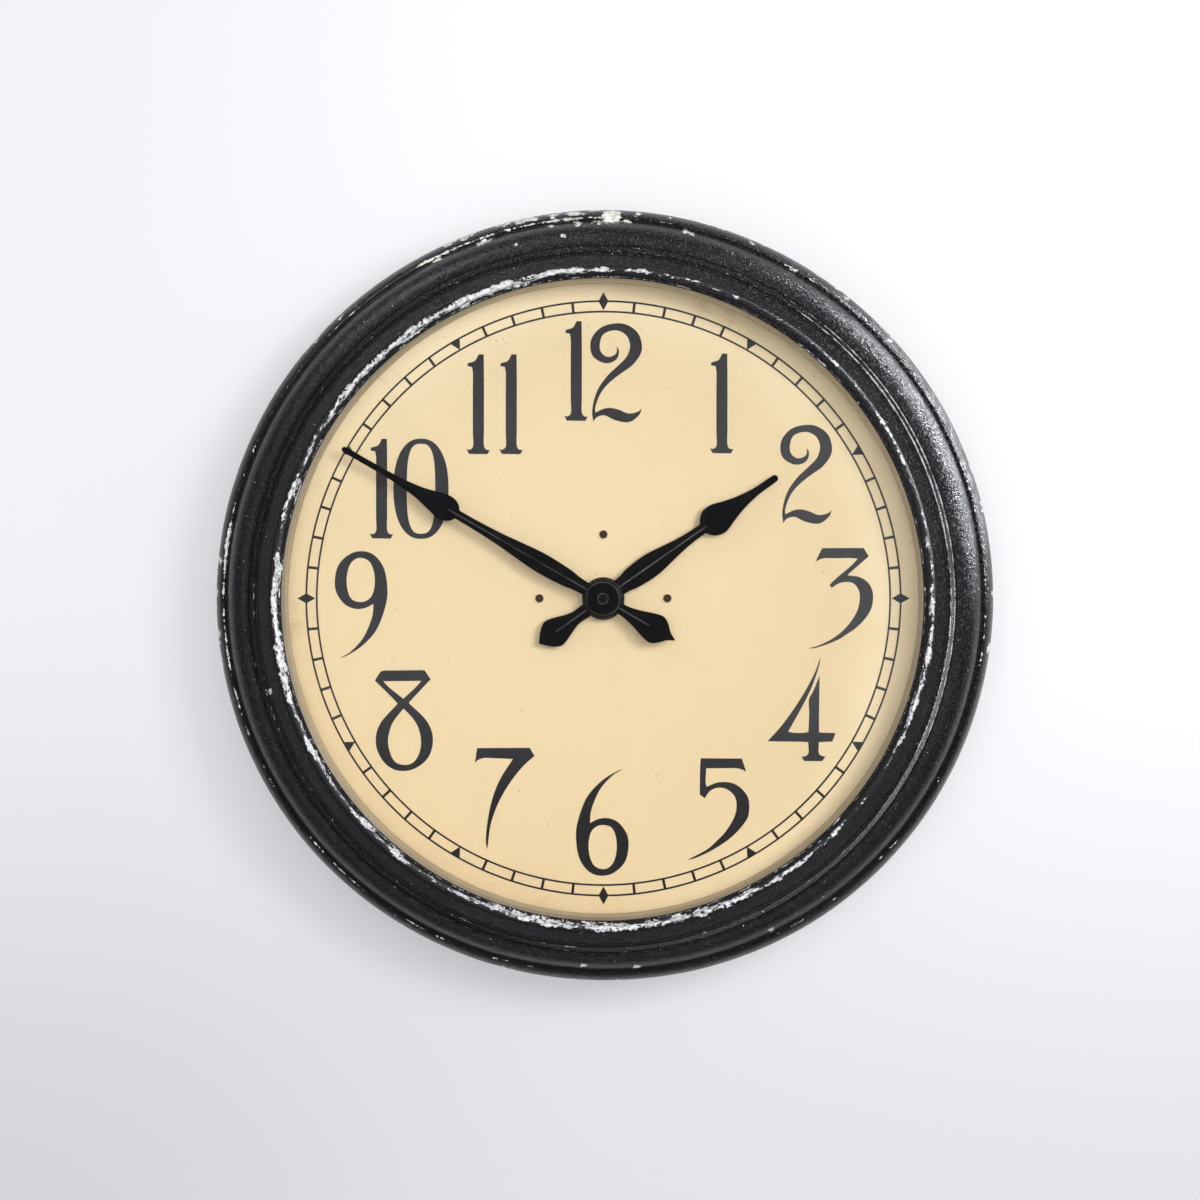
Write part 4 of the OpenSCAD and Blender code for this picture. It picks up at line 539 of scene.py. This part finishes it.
def inkMaterial(s):
    material, shader, place = newMaterial("dialInk")
    rubbed = times(spread(noise(place, 620.0, 4.0, 0.7), 0.70, 0.78), 0.7)
    tone = mixed(noise(place, 40.0, 4.0), *s["black"])
    parts = split(place)
    # Painted sheen: the ink lighter towards the right, where the light falls
    tone = mixed(spread(parts[0], *s["paintedSheenFrom"]), tone, s["paintedSheen"])
    tone = mixed(spread(parts[2], *s["lowFrom"]), tone, s["low"])
    finish(shader, {"Base Color": mixed(rubbed, tone, s["rubbed"]), "Roughness": s["rough"]},
           noise(place, 800.0, 2.0), 0.2, 0.0001)
    return material


def paintedMetal(name, colour, worn, rough, darkened=0.3, chips=0.765, scale=1.0, rubbed=None):
    material, shader, place = newMaterial(name)
    tone = noise(place, 26.0 * scale, 5.0, 0.6)
    dull = tuple(c * 0.55 + 0.02 for c in colour)
    base = mixed(times(spread(tone, 0.35, 0.7), darkened), colour, dull)
    chip = spread(noise(place, 380.0 * scale, 4.0, 0.6, offset=(2, 3, 1)), chips, chips + 0.02)
    uneven = spread(tone, 0.3, 0.7, rough - 0.07, rough + 0.08)
    if rubbed:
        # Painted highlights: paler paint on the ribs' crests and round the eye's edge
        radius, _, depth = useGroup(ringPlace, {"Place": place})
        crests = larger(*(band(depth, *at) for at in rubbed["crests"]))
        crests = times(crests, spread(radius, *rubbed["outside"]))
        marks = larger(crests, band(radius, *rubbed["eye"]))
        marks = times(marks, spread(tone, 0.35, 0.6, 0.2, 1.0))
        base = mixed(marks, base, rubbed["colour"])
    finish(shader, {
        "Base Color": mixed(chip, base, worn),
        "Roughness": plus(uneven, times(chip, 0.15)),
    }, minus(noise(place, 420.0 * scale, 2.0), chip), 0.35, 0.00015)
    return material


def ringMaterial(s):
    material, shader, place = newMaterial("ringPaint")
    _, turn, depth = useGroup(ringPlace, {"Place": place})
    # Painted light and shade: each band lighter or darker by angle, as the light falls on the ring
    inner = mixed(weights(turn, s["innerLitBy"]), *s["inner"])
    dusty = spread(noise(place, 30.0, 4.0), 0.35, 0.7, 0.0, 0.4)
    inner = mixed(dusty, inner, s["dust"])
    outer = mixed(weights(turn, s["outerLitBy"]), *s["outer"])
    uneven = plus(depth, spread(noise(place, 40.0, 4.0), 0.3, 0.7, -1.5, 1.5))
    tone = mixed(spread(uneven, *s["outerFrom"]), inner, outer)
    tone = mixed(times(band(depth, *s["lineAt"]), 0.5), tone, s["line"])
    finish(shader, {
        # Darker towards the foot at the dial
        "Base Color": mixed(spread(depth, *s["darkenedFrom"]), tone, s["darkened"]),
        "Roughness": s["rough"],
    }, noise(place, 420.0, 3.0), 0.3, 0.00015)
    return material


def bareMetal(name, colour, tarnish, rough, amount=0.5, brushed=(1, 1, 1), scale=1.0, middle=None):
    material, shader, place = newMaterial(name)
    if middle:
        near = spread(useGroup(ringPlace, {"Place": place})[0], 9.0, 7.0)
        colour, tarnish = mixed(near, colour, middle), mixed(near, tarnish, middle)
    lines = noise(vector("MULTIPLY", place, brushed), 900.0 * scale, 3.0, 0.6)
    tone = spread(noise(place, 70.0 * scale, 5.0, 0.65), 0.36, 0.68)
    drawn = spread(lines, 0.3, 0.7, rough - 0.06, rough + 0.06)
    finish(shader, {
        "Base Color": mixed(times(tone, amount), colour, tarnish),
        "Metallic": spread(tone, 0.0, 1.0, 1.0, 1.0 - 0.6 * amount),
        "Roughness": plus(drawn, times(tone, 0.25 * amount)),
    }, plus(lines, times(tone, 0.5)), 0.3, 0.00008)
    return material


def moulded(name, colour, second, rough, scale=1.0):
    material, shader, place = newMaterial(name)
    fibre = noise(place, 240.0 * scale, 5.0, 0.7, 1.2)
    finish(shader, {
        "Base Color": mixed(spread(fibre, 0.35, 0.65), colour, second),
        "Roughness": spread(fibre, 0.3, 0.7, rough - 0.08, rough + 0.08),
    }, fibre, 0.35, 0.0001)
    return material


def glassMaterial(s):
    material, shader, place = newMaterial("clearGlass")
    smear = spread(noise(place, 18.0, 4.0, 0.6), 0.45, 0.8, 0.0, 0.03)
    finish(shader, {"Base Color": s["colour"], "Metallic": 0.0, "Transmission Weight": 1.0,
                    "IOR": s["refraction"], "Roughness": smear})
    clear = put(shader, "BsdfTransparent", {"Color": s["shadow"]})
    showBoth(put(shader, "LightPath").outputs["Is Shadow Ray"], shader, clear)
    return material


def wireMaterial(s):
    material, shader, place = newMaterial("enamelledWire")
    inputs = {"Vector": place, "Scale": s["turns"], "Distortion": 0.4}
    wave = put(place, "TexWave", inputs, wave_type="BANDS", bands_direction="Z").outputs["Fac"]
    rough = spread(noise(place, 90.0), 0.3, 0.7, 0.24, 0.4)
    finish(shader, {"Base Color": mixed(wave, *s["colours"]), "Metallic": s["metallic"],
                    "Roughness": rough}, wave, 0.6, 0.0002)
    return material


def wallMaterial(s):
    material, shader, place = newMaterial("whiteWall")
    parts = split(place)
    # Painted light: the wall glows more towards the top and less on the left, as the lamps' light falls off
    # across it
    glow = minus(spread(parts[2], *s["byHeight"]), spread(parts[0], *s["byLeft"]))
    finish(shader, {"Base Color": s["colour"], "Emission Color": s["glow"], "Emission Strength": glow,
                    "Roughness": s["rough"], "Specular IOR Level": s["specular"]})
    behind = put(shader, "NewGeometry").outputs["Backfacing"]
    showBoth(behind, shader, put(shader, "BsdfTransparent"))
    return material


slotMaterials = {
    "black_enamel": enamelMaterial(enamelSettings, wearSettings),
    "black_paint": paintedMetal("blackPaint", (0.020, 0.020, 0.022), (0.34, 0.31, 0.27), 0.42, 0.5),
    "dial_paint": dialMaterial(dialSettings),
    "ring_paint": ringMaterial(ringSettings),
    "window_glass": glassMaterial(glassSettings),
    "hand_paint": paintedMetal("handPaint", (0.0035, 0.0035, 0.0042), (0.20, 0.19, 0.18), 0.13, 0.03, 0.80,
                               2.0, paintedHighlightSettings),
    "browned_steel": bareMetal("brownedSteel", (0.20, 0.13, 0.085), (0.09, 0.045, 0.028), 0.5, 0.9,
                               scale=4.0, middle=(0.035, 0.026, 0.022)),
    "plated_steel": bareMetal("platedSteel", (0.60, 0.60, 0.59), (0.33, 0.29, 0.24), 0.34,
                              brushed=(1, 0.05, 1)),
    "spring_steel": bareMetal("springSteel", (0.50, 0.51, 0.55), (0.26, 0.22, 0.20), 0.26, 0.35,
                              (1, 1, 0.2), 2.0),
    "brass": bareMetal("brass", (0.72, 0.50, 0.20), (0.36, 0.22, 0.09), 0.3, 0.55, (1, 1, 0.08)),
    "soft_iron": bareMetal("softIron", (0.34, 0.345, 0.355), (0.17, 0.12, 0.09), 0.44, 0.7, (1, 0.2, 1)),
    "coil_fibre": moulded("pressedFibre", (0.16, 0.055, 0.03), (0.28, 0.12, 0.07), 0.48),
    "coil_wire": wireMaterial(wireSettings),
    "rubber": moulded("hardRubber", (0.022, 0.021, 0.020), (0.05, 0.048, 0.045), 0.66, 2.0),
}
inkPaint = inkMaterial(inkSettings)
for part in frame["record"]["subparts"]:
    target = nodes[part["node"]]
    target.data.materials.clear()
    target.data.materials.append(slotMaterials[part["material_slot"]])
print("materials done")


# Bezel
def arc(mid, a, b, start, end, steps):
    angles = [math.radians(start + (end - start) * i / steps) for i in range(steps + 1)]
    return [(mid[0] + a * math.cos(t), mid[1] + b * math.sin(t)) for t in angles]


def loft(verts, faces, rows, turned=False, closed=False, left=()):
    # Quads between neighbouring rows of points, each row a loop. Closed rows need no caps; left names gaps
    # between rows whose last quad is left out
    base, count = len(verts), len(rows[0])
    verts += [p for row in rows for p in row]
    for i in range(len(rows) if closed else len(rows) - 1):
        a, b = base + i * count, base + (i + 1) % len(rows) * count
        for k in range(count - 1 if i in left else count):
            j = (k + 1) % count
            quad = (a + k, a + j, b + j, b + k)
            faces.append(quad[::-1] if turned else quad)
    if not closed:
        first, last = tuple(range(base, base + count)), tuple(range(len(verts) - count, len(verts)))
        faces.append(first if turned else first[::-1])
        faces.append(last[::-1] if turned else last)


def fixNormals(obj):
    mesh = obj.data
    mesh.calc_loop_triangles()
    points = np.array([v.co for v in mesh.vertices])
    a, b, c = points[np.array([t.vertices for t in mesh.loop_triangles])].transpose(1, 0, 2)
    if np.einsum("ij,ij->i", a, np.cross(b, c)).sum() < 0:
        mesh.flip_normals()


def bezelSection(s):
    front, bead, groove, shell, bend = s["glassFront"], s["bead"], s["groove"], s["shell"], s["rearBend"]
    beadMid = s["opening"] + s["lip"] + bead
    flatIn = beadMid + bead
    flatOut = flatIn + s["flat"]
    filletIn = flatOut + 2 * groove
    filletOut = filletIn + s["fillet"]
    ovoloIn = filletOut + s["quirk"]
    ovoloOut = ovoloIn + s["ovolo"]
    arris = ovoloOut + s["notch"]
    outer = arris + s["band"]
    ovoloMid, bandMid = ovoloIn + s["ovoloInset"], arris - s["bandInset"]
    semi, bandSemi = ovoloOut - ovoloMid, outer - bandMid
    ovoloZ = front + 3.4 - s["ovoloHeight"]
    notchZ = ovoloZ + 2.3
    ovoloStart = math.degrees(math.acos(-s["ovoloInset"] / semi))
    bandStart = math.degrees(math.acos(s["bandInset"] / bandSemi))
    bandRise = s["bandHeight"] / math.sin(math.radians(bandStart))
    bandZ = ovoloZ + 3.3 - s["bandHeight"]
    rebate, small, back = beadMid + 2.2, s["corner"], s["back"]
    line = [(s["opening"], front), (s["opening"], front + 0.6), (s["opening"] + 0.15, front + 1.05),
            (s["opening"] + 0.5, front + 1.2), (beadMid - bead - 0.1, front + 1.2)]
    line += arc((beadMid, front + 2.4), bead, bead, 200, -20, 26)
    line += [(flatIn + 0.15, front + 1.4), (flatIn + 2, front + 1.25)]
    line += [(flatOut - 2, front + 0.75), (flatOut - 0.1, front + 0.6)]
    line += arc((flatOut + groove, front + 0.6), groove, groove, 190, 350, 12)
    line += [(filletIn + 0.02, front + 1.3)]
    line += arc((filletIn + small, front + 1.85), small, small, 180, 100, 4)
    line += arc((filletOut - small, front + 2.05), small, small, 80, 0, 4)
    line += [(filletOut, front + 1.5), (filletOut + 0.1, front + 1.25), (ovoloIn - 0.1, front + 1.2)]
    line += arc((ovoloMid, ovoloZ), semi, s["ovoloHeight"], ovoloStart, 9, 44)
    line += [(ovoloOut + 0.1, notchZ + 0.1), (ovoloOut + 0.4, notchZ), (ovoloOut + 1.2, notchZ + 0.05)]
    line += arc((bandMid, bandZ), bandSemi, bandRise, bandStart, 0, 26)
    line += arc((outer - bend, back + bend), bend, bend, 0, -90, 6)
    line += [(outer - s["rearEdge"], back), (outer - s["rearEdge"], back + shell)]
    line += [(outer - bend, back + shell), (outer - shell, back + bend + 0.5)]
    stop = math.degrees(math.asin(min(1, (notchZ - shell - bandZ) / (bandRise - shell))))
    line += arc((bandMid, bandZ), bandSemi - shell, bandRise - shell, 0, stop, 8)
    line += [(ovoloOut - shell, notchZ - shell)]
    line += arc((ovoloMid, ovoloZ), semi - shell, s["ovoloHeight"] - shell, 0, 90, 12)
    line += [(ovoloIn - 0.3, front - 2.0), (rebate, front - 2.0), (rebate, front)]
    return line


def makeBezel(s):
    line = bezelSection(s)
    turn = np.linspace(0, 2 * math.pi, s["steps"], endpoint=False)
    rng = np.random.default_rng(s["seed"])
    wave = sum(rng.uniform(0.3, 1) * np.sin(k * turn + rng.uniform(0, 6.3)) for k in (3, 5, 8, 13, 21, 34))
    wave = (wave - wave.max()) / (wave.max() - wave.min()) * s["dent"]
    around = np.degrees(math.pi / 2 - turn) % 360
    pull = np.interp(around, *zip(*s["drawnIn"]))
    blend, window = s["blend"], np.hanning(2 * s["blend"] + 1)
    pull = np.convolve(np.concatenate([pull[-blend:], pull, pull[:blend]]), window / window.sum(), "valid")
    rows = []
    for t, w, p in zip(turn, wave, pull):
        c, n = math.cos(t), math.sin(t)
        row = []
        for r, z in line:
            share, drawn = (min(max((r - s[at]) / s["ease"], 0.0), 1.0) for at in ("dentFrom", "drawnFrom"))
            reach = r + w * share - drawn * p
            row.append((reach * c * mm, -(z + w * share * 0.6) * mm, reach * n * mm))
        rows.append(row)
    verts, faces = [], []
    loft(verts, faces, rows, closed=True)
    obj = meshObject("bezel_shell", verts, faces, slotMaterials["black_enamel"], s["sharp"])
    fixNormals(obj)
    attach(obj, "bezel")
    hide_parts("bezel")
    return obj


makeBezel(bezelSettings)
print("bezel done")


# Numerals and chapter ring, as paint standing a little proud of the dial
def outline(text, steps=6):
    marks = [(t[0] == "*", *map(float, t.lstrip("*").split(","))) for t in text.split()]
    points = [np.array(m[1:]) for m in marks]
    made = []
    for i, p1 in enumerate(points):
        j = (i + 1) % len(points)
        p2 = points[j]
        p0 = 2 * p1 - p2 if marks[i][0] else points[i - 1]
        p3 = 2 * p2 - p1 if marks[j][0] else points[(j + 1) % len(points)]
        d1, d2, d3 = (max(np.linalg.norm(b - a), 1e-6) ** 0.5 for a, b in ((p0, p1), (p1, p2), (p2, p3)))
        m1 = (p2 - p1) + d2 * ((p1 - p0) / d1 - (p2 - p0) / (d1 + d2))
        m2 = (p2 - p1) + d2 * ((p3 - p2) / d3 - (p3 - p1) / (d2 + d3))
        for k in range(steps):
            t = k / steps
            made.append((2 * t ** 3 - 3 * t ** 2 + 1) * p1 + (t ** 3 - 2 * t ** 2 + t) * m1
                        + (3 * t ** 2 - 2 * t ** 3) * p2 + (t ** 3 - t ** 2) * m2)
    return [tuple(p) for p in made]


def superellipse(middle, a, b, power, steps=96):
    made = []
    for k in range(steps):
        t = 2 * math.pi * k / steps
        c, s = math.cos(t), math.sin(t)
        made.append((middle[0] + a * math.copysign(abs(c) ** (2 / power), c),
                     middle[1] + b * math.copysign(abs(s) ** (2 / power), s)))
    return made


def area(loop):
    return sum(p[0] * q[1] - q[0] * p[1] for p, q in zip(loop, loop[1:] + loop[:1])) / 2


def slab(verts, faces, loops, front, thick):
    flat = [p for loop in loops for p in loop]
    tris = geometry.tessellate_polygon([[Vector((x, y, 0)) for x, y in loop] for loop in loops])
    base, total = len(verts), len(flat)
    for depth in (front, front - thick):
        verts += [(x * mm, -depth * mm, y * mm) for x, y in flat]
    for tri in tris:
        turn = area([flat[i] for i in tri])
        if abs(turn) < 1e-9:
            continue
        a, b, c = (base + i for i in (tri if turn > 0 else (tri[0], tri[2], tri[1])))
        faces += [(a, b, c), (a + total, c + total, b + total)]
    start = base
    for k, loop in enumerate(loops):
        outside = (area(loop) > 0) == (k == 0)
        for i in range(len(loop)):
            p, q = start + i, start + (i + 1) % len(loop)
            wall = (p, p + total, q + total, q)
            faces.append(wall if outside else wall[::-1])
        start += len(loop)


def makeNumerals(s):
    shapes = [[[(px + x, py + y) for px, py in outline(text)] for text in glyphs[name]]
              for name, x, y in s["places"]]
    # The six is a nine turned half round
    (x, y), (w, h) = s["six"]["corner"], s["six"]["size"]
    shapes.append([[(x + w - px, y + h - py) for px, py in outline(text)] for text in glyphs["9"]])
    nought = s["nought"]
    shapes.append([superellipse(nought["middle"], *nought[label]) for label in ("outside", "inside")])
    verts, faces = [], []
    for loops in shapes:
        slab(verts, faces, loops, s["front"], s["thick"])
    obj = meshObject("numerals", verts, faces, inkPaint)
    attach(obj, "case")
    return obj


def makeRings(s):
    verts, faces = [], []
    front, back, wide = s["front"], s["front"] - s["thick"], s["line"] / 2
    section = ((wide, front), (-wide, front), (-wide, back), (wide, back))
    for radius in (s["outer"], s["inner"]):
        rows = []
        for i in range(s["steps"]):
            t = 2 * math.pi * i / s["steps"]
            rows.append([((radius + r) * math.cos(t) * mm, -z * mm, (radius + r) * math.sin(t) * mm)
                         for r, z in section])
        loft(verts, faces, rows, closed=True)
    obj = meshObject("chapter_rings", verts, faces, inkPaint)
    fixNormals(obj)
    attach(obj, "case")
    return obj


def makeMarks(s):
    tree = bpy.data.node_groups.new("hourMarks", "GeometryNodeTree")

    def socket(label, kind, side="INPUT"):
        return tree.interface.new_socket(label, in_out=side, socket_type="NodeSocket" + kind)

    def halved(value):
        return times(value, 0.5)

    socket("Geometry", "Geometry")
    values = {"Outer": s["outer"], "Inner": s["inner"], "Tick Width": s["tick"],
              "Triangle Width": s["triangle"][0], "Triangle Length": s["triangle"][1],
              "Diamond Width": s["diamond"][0], "Diamond Length": s["diamond"][1], "Front": s["front"],
              "Thickness": s["thick"]}
    sockets = {label: socket(label, "Float").identifier for label in values}
    paint = socket("Material", "Material").identifier
    socket("Geometry", "Geometry", "OUTPUT")
    given, out = put(tree, "NodeGroupInput").outputs, put(tree, "NodeGroupOutput").inputs
    metres = {label: times(given[label], mm) for label in values}
    outer, inner, thickness = metres["Outer"], metres["Inner"], metres["Thickness"]
    middle = minus(metres["Front"], halved(thickness))

    def placed(count, radius, body, each=None):
        # Bodies round the ring at that radius, without every one whose number each divides
        points = put(tree, "GeometryNodePoints", {"Count": count})
        index = put(tree, "GeometryNodeInputIndex").outputs[0]
        turn = times(index, 2 * math.pi / count)
        sine, cosine = (times(calc(name, turn), radius) for name in ("SINE", "COSINE"))
        place = put(tree, "CombineXYZ", {0: sine, 1: times(middle, -1.0), 2: cosine})
        points = put(tree, "GeometryNodeSetPosition", {"Geometry": points, "Position": place})
        spin = put(tree, "CombineXYZ", {1: turn})
        inputs = {"Points": points, "Instance": body, "Rotation": spin}
        if each:
            whole = calc("COMPARE", calc("MODULO", index, each), 0.0, 0.1)
            inputs["Selection"] = minus(1.0, whole)
        return put(tree, "GeometryNodeInstanceOnPoints", inputs)

    def shaped(sides, width, length):
        # A prism along y whose first corner points down
        body = put(tree, "GeometryNodeMeshCylinder", {"Vertices": sides, "Radius": 1.0, "Depth": 1.0})
        size = put(tree, "CombineXYZ", {0: length, 1: width, 2: thickness})
        body = put(tree, "GeometryNodeTransform", {"Geometry": body.outputs["Mesh"], "Scale": size})
        for turn in ((math.pi / 2, 0, 0), (0, math.pi / 2, 0)):
            body = put(tree, "GeometryNodeTransform", {"Geometry": body, "Rotation": turn})
        return body

    size = put(tree, "CombineXYZ", {0: metres["Tick Width"], 1: thickness, 2: minus(outer, inner)})
    tick = put(tree, "GeometryNodeMeshCube", {"Size": size})
    triangle = shaped(3, calc("DIVIDE", metres["Triangle Width"], 1.732),
                      calc("DIVIDE", metres["Triangle Length"], 1.5))
    diamond = shaped(4, halved(metres["Diamond Width"]), halved(metres["Diamond Length"]))
    within = minus(outer, calc("DIVIDE", metres["Triangle Length"], 3.0))
    joined = put(tree, "GeometryNodeJoinGeometry")
    for made in (placed(60, halved(plus(outer, inner)), tick, 5.0), placed(12, within, triangle, 3.0),
                 placed(4, outer, diamond)):
        tree.links.new(made.outputs[0], joined.inputs[0])
    real = put(tree, "GeometryNodeRealizeInstances", {0: joined})
    painted = put(tree, "GeometryNodeSetMaterial", {"Geometry": real, "Material": given["Material"]})
    join(painted, out[0])
    holder = bpy.data.objects.new("marksHolder", bpy.data.meshes.new("marksHolder"))
    bpy.context.scene.collection.objects.link(holder)
    modifier = holder.modifiers.new("marks", "NODES")
    modifier.node_group = tree
    for label, value in values.items():
        modifier[sockets[label]] = value
    modifier[paint] = inkPaint
    graph = bpy.context.evaluated_depsgraph_get()
    mesh = bpy.data.meshes.new_from_object(holder.evaluated_get(graph))
    bpy.data.objects.remove(holder)
    mesh.name = "chapter_marks"
    if not mesh.materials:
        mesh.materials.append(inkPaint)
    obj = bpy.data.objects.new("chapter_marks", mesh)
    bpy.context.scene.collection.objects.link(obj)
    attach(obj, "case")
    return obj


makeNumerals(numeralSettings)
makeRings(chapterSettings)
marks = makeMarks(chapterSettings)
print("dial paint done", len(marks.data.vertices))


# Hands
def smoothed(points, steps=6):
    ends = [np.array(p) for p in (points[0], *points, points[-1])]
    made = []
    for p, q, r, s in zip(ends, ends[1:], ends[2:], ends[3:]):
        for k in range(steps):
            t = k / steps
            made.append(0.5 * (2 * q + (r - p) * t + (2 * p - 5 * q + 4 * r - s) * t * t
                               + (3 * q - p - 3 * r + s) * t ** 3))
    made.append(ends[-1])
    return [tuple(p) for p in made]


def makeHand(name, node, body, s, shared):
    side = smoothed(s["stations"]) + smoothed(s["spade"])[1:]
    widths, lengths = zip(*side)
    stops = set(lengths)
    for radius, step in ((s["eye"], 6), (s["bore"], 15)):
        stops |= {radius * math.cos(math.radians(a)) for a in range(0, 181, step)}
    kept = []
    for x in sorted(x for x in stops if lengths[0] <= x <= lengths[-1]):
        if not kept or x - kept[-1] > shared["apart"]:
            kept.append(x)
    spans = []
    for x in kept:
        half = float(np.interp(x, lengths, widths))
        if abs(x) < s["eye"]:
            half = max(half, math.sqrt(s["eye"] ** 2 - x * x))
        inner = math.sqrt(s["bore"] ** 2 - x * x) if abs(x) < s["bore"] - 1e-6 else 0.0
        spans.append((x, inner, half))
    verts, faces = [], []
    left = [i for i in range(len(spans) - 1) if spans[i][1] == 0 and spans[i + 1][1] == 0]
    for sign in (1, -1):
        rows = []
        for x, inner, half in spans:
            row = []
            for t in shared["columns"]:
                across = inner + (half - inner) * t
                rise = shared["ridge"] - (shared["ridge"] - shared["edge"]) * across / max(half, 0.01)
                row.append((sign * across, x, shared["edge"] * 0.55 if t == 1.0 else rise))
            row += [(sign * (inner + (half - inner) * t), x, 0.0) for t in (1.0, 0.0)]
            rows.append(row)
        loft(verts, faces, rows, sign < 0, left=left)
    rib, sides = shared["rib"], shared["ribSides"]
    for low, high in s["ribs"]:
        inner, outer, out = (low, high, 1) if high > 0 else (high, low, -1)
        spine = [(inner, rib), (outer, rib)]
        for a in (15, 30, 45, 60, 75, 88):
            spine.append((outer + out * rib * math.sin(math.radians(a)), rib * math.cos(math.radians(a))))
        turns = [2 * math.pi * k / sides for k in range(sides)]
        rows = [[(radius * math.cos(t), along, shared["ridge"] + radius * math.sin(t)) for t in turns]
                for along, radius in spine]
        loft(verts, faces, rows, out > 0)
    c, n = math.cos(math.radians(s["turn"])), math.sin(math.radians(s["turn"]))
    world = [((x * c + y * n) * mm, -(s["base"] + z) * mm, (y * c - x * n) * mm) for x, y, z in verts]
    obj = meshObject(name, world, faces, slotMaterials["hand_paint"], shared["sharp"])
    made = bmesh.new()
    made.from_mesh(obj.data)
    bmesh.ops.remove_doubles(made, verts=made.verts, dist=1e-6)
    bmesh.ops.recalc_face_normals(made, faces=made.faces)
    made.to_mesh(obj.data)
    made.free()
    obj.data.set_sharp_from_angle(angle=math.radians(shared["sharp"]))
    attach(obj, body)
    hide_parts(node)
    return obj


makeHand("minute_hand_dressed", "minute_hand", "minute_works", handSettings["minute"], handSettings)
makeHand("hour_hand_dressed", "hour_hand", "hour_works", handSettings["hour"], handSettings)
print("hands done")

# Wall and lights
half, wallAt = wallSettings["half"], wallSettings["at"]
corners = [(x, wallAt, z) for x, z in ((-half, -half), (half, -half), (half, half), (-half, half))]
wall = meshObject("wall", corners, [(0, 1, 2, 3)], wallMaterial(wallSettings))


def areaLight(name, s):
    data = bpy.data.lights.new(name, "AREA")
    data.shape = "RECTANGLE"
    data.size, data.size_y = s["size"]
    data.energy, data.color = s["watts"], s["colour"]
    light = bpy.data.objects.new(name, data)
    light.visible_glossy = light.visible_transmission = s["lit"] != "matt"
    light.visible_diffuse = s["lit"] != "gloss"
    light.location = s["place"]
    light.rotation_euler = Vector(s["place"]).to_track_quat("Z", "Y").to_euler()
    bpy.context.scene.collection.objects.link(light)


for label, values in lightSettings.items():
    areaLight(label, values)
world = bpy.data.worlds.new("world")
bpy.context.scene.world = world
world.use_nodes = True
tree = world.node_tree
tree.nodes.clear()
path = put(tree, "LightPath").outputs
level = spread(path["Is Glossy Ray"], 0.0, 1.0, worldSettings["soft"], worldSettings["reflected"])
soft = put(tree, "Background", {"Color": worldSettings["colour"], "Strength": level})
plain = put(tree, "Background", {"Color": (1, 1, 1), "Strength": worldSettings["backdrop"]})
both = put(tree, "MixShader", {0: path["Is Camera Ray"], 1: soft, 2: plain})
put(tree, "OutputWorld", {"Surface": both})
print("stage done")
